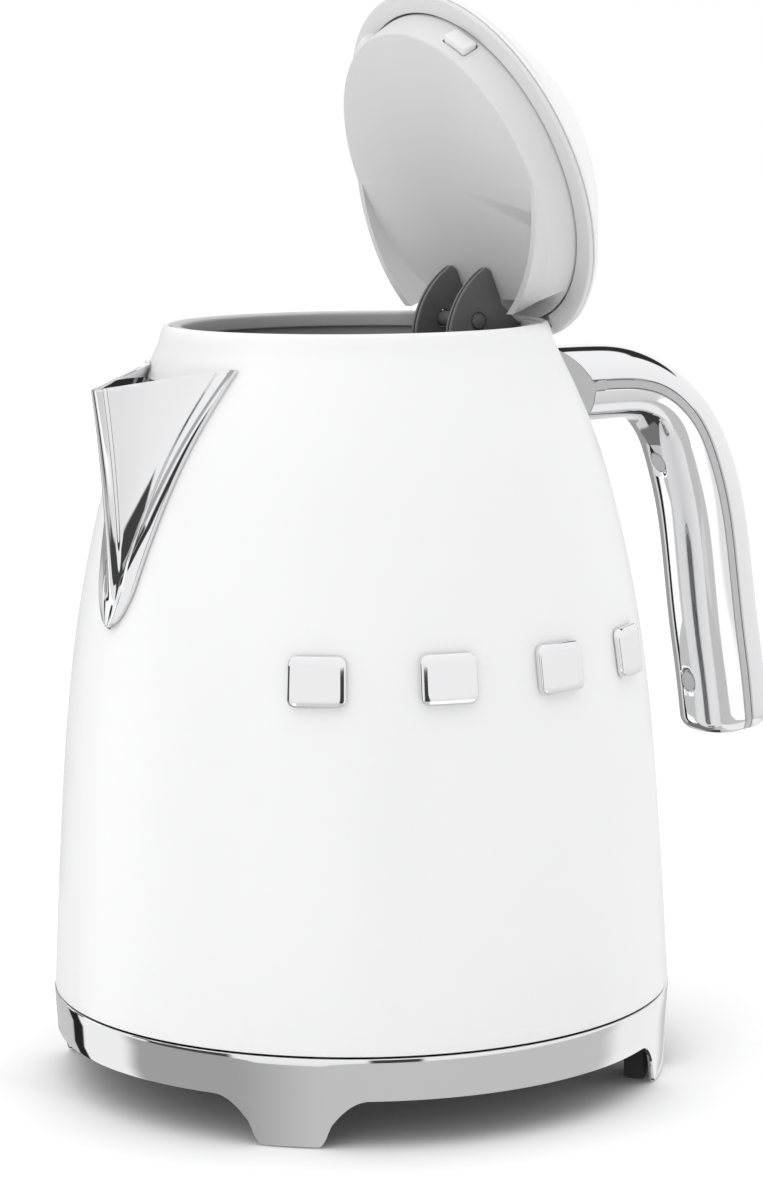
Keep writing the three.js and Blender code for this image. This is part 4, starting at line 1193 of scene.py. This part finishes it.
def chrome():
    made = material("polished_chrome", (0.83, 0.83, 0.84), 0.05, 1.0)
    roughened(made, noise(made, 45, 4), 0.03, 0.07)
    tinted(made, noise(made, 22), (0.80, 0.80, 0.81), (0.85, 0.85, 0.86))
    return made


def steel(name="brushed_steel", rough=0.28, stretch=(1, 1, 30)):
    made = material(name, (0.60, 0.60, 0.61), rough, 1.0)
    grain = noise(made, 90, 4, stretch)
    roughened(made, grain, rough - 0.06, rough + 0.08)
    bumps(made, grain, 0.006)
    tinted(made, noise(made, 35), (0.54, 0.54, 0.55), (0.64, 0.64, 0.65))
    return made


def moulded(name, tone, rough, grain_depth=0.01, **sockets):
    """Moulded plastic with a fine spark-eroded grain."""
    made = material(name, tone, rough, **sockets)
    bumps(made, noise(made, 1600, 2), grain_depth)
    roughened(made, noise(made, 90), rough - 0.05, rough + 0.06)
    tinted(made, noise(made, 25), tuple(c * 0.95 for c in tone), tuple(min(c * 1.04, 1) for c in tone))
    return made


def clear_plastic():
    made = material("clear_plastic", (0.93, 0.96, 0.97), 0.06, Transmission_Weight=0.92, IOR=1.49)
    roughened(made, noise(made, 120), 0.04, 0.09)
    return made


def cast_aluminium():
    made = material("cast_aluminium", (0.55, 0.55, 0.56), 0.5, 1.0)
    bumps(made, noise(made, 500, 4), 0.05)
    roughened(made, noise(made, 80), 0.4, 0.58)
    return made


def brass():
    made = material("brass", (0.72, 0.52, 0.22), 0.28, 1.0)
    roughened(made, noise(made, 160, 4), 0.2, 0.36)
    tinted(made, noise(made, 60), (0.66, 0.46, 0.18), (0.76, 0.57, 0.26))
    return made


FINISHES = {
    "white_paint": enamel(),
    "chrome": chrome(),
    "stainless_steel": steel(),
    "grey_plastic": moulded("grey_plastic", (0.50, 0.50, 0.505), 0.42, Specular_IOR_Level=0.4),
    "light_grey_plastic": moulded("light_grey_plastic", (0.70, 0.70, 0.70), 0.42),
    "dark_grey_plastic": moulded("dark_grey_plastic", (0.15, 0.15, 0.155), 0.4),
    "white_plastic": moulded("white_plastic", (0.80, 0.80, 0.80), 0.34, 0.004),
    "black_plastic": moulded("black_plastic", (0.018, 0.018, 0.019), 0.46, 0.03),
    "rubber": moulded("matt_rubber", (0.022, 0.022, 0.023), 0.72, 0.02),
    "clear_plastic": clear_plastic(),
    "aluminium": cast_aluminium(),
    "brass": brass(),
}
SATIN_GREY = moulded("satin_grey_cap", (0.52, 0.52, 0.53), 0.3, 0.004)
INSIDE_STEEL = steel("inner_steel", 0.34, (1, 1, 6))


# ---------- assembly ----------
STOOD_FOR = set()


def stand_for(obj, node, finish=None):
    """A fine piece takes the place of a CAD node: its body, its slot and its finish."""
    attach(obj, BODY_OF[node])
    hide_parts(node)
    chosen = finish or FINISHES[SLOT_OF[node]]
    if obj.data.materials:
        obj.data.materials[0] = chosen
    else:
        obj.data.materials.append(chosen)
    STOOD_FOR.add(node)
    return obj


def stand_for_each(*makers):
    """Makes pieces whose functions are named after the CAD nodes that they stand for."""
    for maker in makers:
        stand_for(maker(), maker.__name__)


def dress_cad_nodes():
    """CAD nodes that stay get the finish of their slot."""
    for node, obj in frame["nodes"].items():
        if node in STOOD_FOR:
            continue
        obj.data.materials.clear()
        obj.data.materials.append(FINISHES[SLOT_OF[node]])


def make_screws(place, screws):
    for i, (x, y) in enumerate(screw_spots(screws), 1):
        stand_for(screw(f"{place}_fixing_{i}", x, y, screws["head"], screws["tip"]), f"{place}_screw_{i}")


def make_base():
    stand_for_each(base_ring)
    for i, degrees in enumerate(FOOT_DEGREES, 1):
        stand_for(foot_pad(i, degrees), f"foot_pad_{i}")
    stand_for_each(base_deck, base_underside)
    make_screws("base", BASE_SCREWS)
    stand_for_each(cord_gland, base_connector)
    stand_for(disc("centre_pin", 0, HUB["pin"], HUB["low"], 30, 0.6, 48), "connector_pin")
    for name, radius in zip(("inner", "outer"), HUB["rings"]):
        stand_for(contact_ring(name, radius), f"contact_ring_{name}")


def make_jug():
    shell = stand_for(body_shell(), "body_shell")
    paint_inside(shell, INSIDE_STEEL)
    stand_for_each(spout, neck_collar, hinge_bracket)
    pin = rod("hinge_axle", (HINGE.x, -13, HINGE.z), (HINGE.x, 13, HINGE.z), 1.6, 32)
    stand_for(pin, "hinge_pin")
    stand_for_each(lid_spring, vessel_floor)
    low, high = FLOOR_SEAL["low"], FLOOR_SEAL["high"]
    seal = disc("floor_gasket", FLOOR_SEAL["inner"], jug_radius(high) - WALL - 0.5, low, high, 0.6)
    stand_for(seal, "floor_seal")
    plate = disc("heat_spreader", 0, HEAT_PLATE["r"], HEAT_PLATE["low"], HEAT_PLATE["high"], 0.6, 120)
    stand_for(plate, "heater_plate")
    stand_for_each(heater_element, control_unit)
    sensor = disc("steam_sensor_disc", 0, 8, 33, 34, 0.3, 48, at=STEAM_AT)
    stand_for(sensor, "bimetal_disc")
    tube = disc("steam_pipe", STEAM["bore"], STEAM["r"], STEAM["low"], STEAM["high"], 0.4, 48, at=STEAM_AT)
    stand_for(tube, "steam_tube")
    stand_for_each(jug_bottom_cover)
    make_screws("cover", COVER_SCREWS)
    stand_for_each(connector_socket)
    for i in (1, 2, 3, 4):
        stand_for(badge(i), f"badge_{i}")


def make_fittings():
    stand_for_each(gauge_gasket, gauge_window, switch_bezel, switch_lever, spout_filter)


def make_handle():
    outer, inner, core, caps, screws = handle_pieces()
    stand_for(core, "handle_core")
    stand_for(outer, "handle_outer_shell")
    stand_for(inner, "handle_inner_shell")
    for name, cap in caps.items():
        stand_for(cap, f"handle_cap_{name}", SATIN_GREY)
    for name, fixing in screws.items():
        stand_for(fixing, f"handle_screw_{name}")


def make_lid():
    stand_for_each(lid_dome, lid_trim_ring, lid_liner)
    for name, side in (("left", -1), ("right", 1)):
        stand_for(lid_arm(f"hinge_ear_{name}", side), f"lid_arm_{name}")
    x, z = CROSS_PIN
    cross = rod("ear_cross_bar", (x, -10.4, z), (x, 10.4, z), 2.2, 48, 0.5, lid=True)
    stand_for(cross, "arm_cross_pin")
    stand_for_each(lid_button, button_spring)
    for name, side in (("left", 1), ("right", -1)):
        tab = soften(catch_block(f"latch_tab_{name}", side, 0, CATCH["inner"], CATCH["outer"]), 0.35, 3)
        stand_for(tab, f"catch_{name}")


make_base()
make_jug()
make_fittings()
make_handle()
make_lid()
dress_cad_nodes()


# ---------- floor, light and camera ----------
CAMERA = {"place": (-0.5132, -0.7781, 0.2645), "turn": (-32.4, 81.65, -0.47), "lens": 100.81}
FACING = -122.4  # compass direction from the kettle to the camera

# Brightness of the studio by the sine of elevation: what lights the matt surfaces, and what the
# chrome sees.
SOFT_LEVELS = [(-1, 0.60), (0, 0.60), (0.45, 0.78), (1, 1.5)]
CHROME_LEVELS = [(-1, 0.60), (-0.3, 0.80), (0, 1.0), (0.45, 1.05), (1, 1.1)]
# Cards hung in it: compass direction, half-width and soft edge in degrees, lowest and highest sine
# of elevation, and brightness.
SOFT_CARDS = [
    (-93, 15, 30, -0.80, 0.80, 0.42),
    (-165, 20, 35, -0.80, 0.80, 1.15),
    (-15, 20, 30, -0.80, 0.80, 1.10),
]
CHROME_CARDS = [
    (50, 45, 6, 0.44, 0.70, 0.03),
    (50, 50, 6, 0.84, 0.96, 1.30),
    (57, 70, 15, -1.00, -0.74, 0.05),
    (130, 42, 8, -0.90, -0.50, 0.20),
    (81, 17, 6, -0.50, 0.30, 0.38),
    (112, 3, 2, -0.50, 0.30, 0.02),
    (122, 5, 2, -0.50, 0.30, 1.25),
    (140, 10, 4, -0.50, -0.20, 0.62),
    (160, 7, 3, -0.50, -0.20, 0.40),
    (-178, 8, 3, -0.80, -0.22, 0.05),
    (-152, 5, 2, -0.80, -0.20, 1.25),
    (-135, 10, 4, -0.80, -0.20, 0.76),
    (-110, 11, 4, -0.80, -0.20, 0.66),
    (-80, 20, 4, -0.60, -0.20, 1.25),
    (-110, 8, 3, -0.17, 0.12, 0.05),
    (172, 16, 4, -0.17, 0.12, 0.06),
    (150, 3, 2, 0.05, 0.60, 0.04),
    (163, 3, 2, 0.05, 0.60, 0.45),
]
# Painted reflection for the base ring: cards lying on the table round it, which the ring mirrors,
# over a grey of painted table shade: degrees left of the camera's side, half-width and soft edge in
# degrees, and brightness.
# Painted shade: the grey the ring mirrors, darker than the pale table really is.
MIRRORED_TABLE_SHADE = 0.62
TABLE_CARDS = [
    (35, 10, 20, 0.40),
    (56, 6, 6, 1.0),
    (66, 2, 1, 0.02),
    (-65, 8, 8, 1.0),
]
TABLE_REACH = 250


def stage_mesh(name, points, faces, shader, **seen_by):
    """A studio piece that isn't part of the kettle, hidden from the named kinds of ray."""
    mesh = bpy.data.meshes.new(name)
    mesh.from_pydata(points, [], faces)
    obj = put_in_scene(name, mesh)
    mesh.materials.append(shader)
    for ray, seen in seen_by.items():
        setattr(obj, f"visible_{ray}", seen)
    return obj


def stage_floor():
    """A wide pale table top, which no mirrored ray sees: near the ring the glow card stands for it,
    with a painted reflection and painted shade.
    """
    half = 8.0
    paper = material("studio_paper", (0.96, 0.96, 0.96), 0.9)
    tinted(paper, noise(paper, 2), (0.955, 0.955, 0.955), (0.965, 0.965, 0.965))
    corners = [(-half, -half, 0), (half, -half, 0), (half, half, 0), (-half, half, 0)]
    stage_mesh("studio_floor", corners, [(0, 1, 2, 3)], paper, glossy=False)


def glowing(name, attribute=None):
    """A surface that gives light, of brightness 1 or as a mesh attribute says."""
    made = bpy.data.materials.new(name)
    made.use_nodes = True
    tree = made.node_tree
    tree.nodes.remove(tree.nodes["Principled BSDF"])
    glow = add(made, "ShaderNodeEmission")
    glow.inputs["Strength"].default_value = 1.0
    if attribute:
        level = add(made, "ShaderNodeAttribute", attribute_name=attribute)
        link(made, level.outputs["Fac"], glow.inputs["Strength"])
    link(made, glow.outputs["Emission"], tree.nodes["Material Output"].inputs["Surface"])
    return made


def stage_backdrop():
    """A white drum far round the table, which only the camera sees."""
    radius, height, steps = 7.5, 6.0, 64
    points = []
    for z in (-0.01, height):
        points += [Vector(polar(radius, 360 * i / steps, z)) for i in range(steps)]
    faces = [(i, (i + 1) % steps, steps + (i + 1) % steps, steps + i) for i in range(steps)]
    faces.append(tuple(range(steps, 2 * steps)))
    unseen = {ray: False for ray in ("glossy", "diffuse", "shadow", "transmission")}
    stage_mesh("studio_backdrop", points, faces, glowing("backdrop_white"), **unseen)


def table_level(left):
    """Brightness of the painted reflection's cards at a number of degrees left of the camera's side."""
    level = MIRRORED_TABLE_SHADE
    for centre, half, soft, brightness in TABLE_CARDS:
        level += (brightness - level) * ease((half + soft - abs(left - centre)) / soft)
    return level


def stage_table_glow():
    """Painted reflection and painted table shade for the base ring: a few cards round it,
    spread along the way each mirrored ray leaves.
    """
    reach, steps = 84, 640  # degrees to each side of the camera
    points, levels = [], []
    for i in range(steps + 1):
        left = reach * (2 * i / steps - 1)
        ring = Vector(polar(BASE["band_r"] + 0.4, FACING - left, 0.6))
        along = Vector(polar(1, FACING - 2 * left, 0))
        points += [metres(ring - along * 1.1), metres(ring + along * TABLE_REACH)]
        levels += 2 * [table_level(left)]
    faces = [(2 * i, 2 * i + 2, 2 * i + 3, 2 * i + 1) for i in range(steps)]
    unseen = {ray: False for ray in ("camera", "diffuse", "shadow", "transmission")}
    # Glows only for mirrored rays: a painted reflection with painted shade on the base ring.
    card = stage_mesh("painted_ring_reflection_card", points, faces, glowing("card_glow", attribute="glow"), **unseen)
    glow = card.data.attributes.new("glow", "FLOAT", "POINT")
    glow.data.foreach_set("value", levels)


def studio_world():
    """A soft studio all round, brighter overhead, with bright and dark upright cards for the chrome."""
    world = bpy.data.worlds.new("studio")
    bpy.context.scene.world = world
    world.use_nodes = True
    tree = world.node_tree
    place = tree.nodes.new("ShaderNodeTexCoord")
    split = tree.nodes.new("ShaderNodeSeparateXYZ")
    tree.links.new(place.outputs["Generated"], split.inputs["Vector"])
    turn = math_node(tree, "ARCTAN2", split.outputs["Y"], split.outputs["X"])
    degrees = math_node(tree, "MULTIPLY", turn, 180 / math.pi)
    soft = studio_level(tree, degrees, split.outputs["Z"], SOFT_LEVELS, SOFT_CARDS)
    chrome_sees = studio_level(tree, degrees, split.outputs["Z"], CHROME_LEVELS, CHROME_CARDS)
    mirrored = tree.nodes.new("ShaderNodeLightPath").outputs["Is Glossy Ray"]
    level = towards(tree, soft, chrome_sees, mirrored)
    tree.links.new(level, tree.nodes["Background"].inputs["Color"])


def studio_level(tree, degrees, height, levels, cards):
    """The studio's brightness in a direction: its base, with the cards laid over one by one."""
    level = sky_base(tree, height, levels)
    for centre, half, soft, low, high, brightness in cards:
        across = band_mask(tree, degrees, centre, half, soft)
        above = fade(tree, height, low - 0.03, low)
        below = fade(tree, height, high + 0.03, high)
        mask = math_node(tree, "MULTIPLY", across, math_node(tree, "MULTIPLY", above, below))
        level = towards(tree, level, brightness, mask)
    return level


def towards(tree, start, end, mask):
    """start where mask is 0, end where it is 1."""
    change = math_node(tree, "MULTIPLY", math_node(tree, "SUBTRACT", end, start), mask)
    return math_node(tree, "ADD", start, change)


def sky_base(tree, height, levels):
    """The brightness at a height, as straight pieces between the listed ones."""
    level = None
    for (low, dim), (high, bright) in zip(levels, levels[1:]):
        wanted = (dim, bright) if level is None else (0, bright - dim)
        part = map_range(tree, height, (low, high), wanted)
        level = part if level is None else math_node(tree, "ADD", level, part)
    return level


def math_node(tree, operation, *values):
    """One step of arithmetic on numbers and sockets; returns the socket of its result."""
    node = tree.nodes.new("ShaderNodeMath")
    node.operation = operation
    for socket, value in zip(node.inputs, values):
        if isinstance(value, (int, float)):
            socket.default_value = value
        else:
            tree.links.new(value, socket)
    return node.outputs["Value"]


def band_mask(tree, degrees, centre, half, soft):
    """1 inside a range of compass directions, falling to 0 over its soft edges."""
    offset = math_node(tree, "SUBTRACT", degrees, centre)
    away = math_node(tree, "ABSOLUTE", math_node(tree, "WRAP", offset, 180, -180))
    return fade(tree, away, half + soft, half)


def fade(tree, value, start, end):
    """0 at start and 1 at end, smoothly."""
    return map_range(tree, value, (start, end), interpolation="SMOOTHSTEP")


def hang_lamp(name, data, power):
    """Puts a lamp in the scene that no chrome mirrors."""
    data.energy = power
    lamp = put_in_scene(name, data)
    lamp.visible_glossy = False
    return lamp


def key_light():
    """A square panel above the spout's side, aimed at the jug."""
    place, target = Vector((-1.3, 0.2, 1.3)), Vector((-0.03, 0, 0.12))
    data = bpy.data.lights.new("key", "AREA")
    data.shape = "RECTANGLE"
    data.size = data.size_y = 1.0
    lamp = hang_lamp("key", data, 1)
    lamp.location = place
    lamp.rotation_euler = (target - place).to_track_quat("-Z", "Y").to_euler()


def overhead_sun():
    """A very wide sun, which keeps the whole floor white."""
    data = bpy.data.lights.new("overhead", "SUN")
    data.angle = math.radians(80)
    hang_lamp("overhead", data, 0.4)


def aim_camera():
    """The photograph's viewing angle, from a camera that was fitted to the kettle's round outlines."""
    data = bpy.data.cameras.new("camera")
    data.lens = CAMERA["lens"]
    data.sensor_width = 36
    camera = put_in_scene("camera", data)
    yaw, tilt, roll = (math.radians(v) for v in CAMERA["turn"])
    turn = Matrix.Rotation(yaw, 4, "Z") @ Matrix.Rotation(tilt, 4, "X") @ Matrix.Rotation(roll, 4, "Z")
    camera.matrix_world = Matrix.Translation(CAMERA["place"]) @ turn
    bpy.context.scene.camera = camera


stage_floor()
stage_backdrop()
stage_table_glow()
studio_world()
key_light()
overhead_sun()
aim_camera()

bpy.context.scene.view_settings.view_transform = "Standard"
bpy.context.scene.view_settings.look = "None"
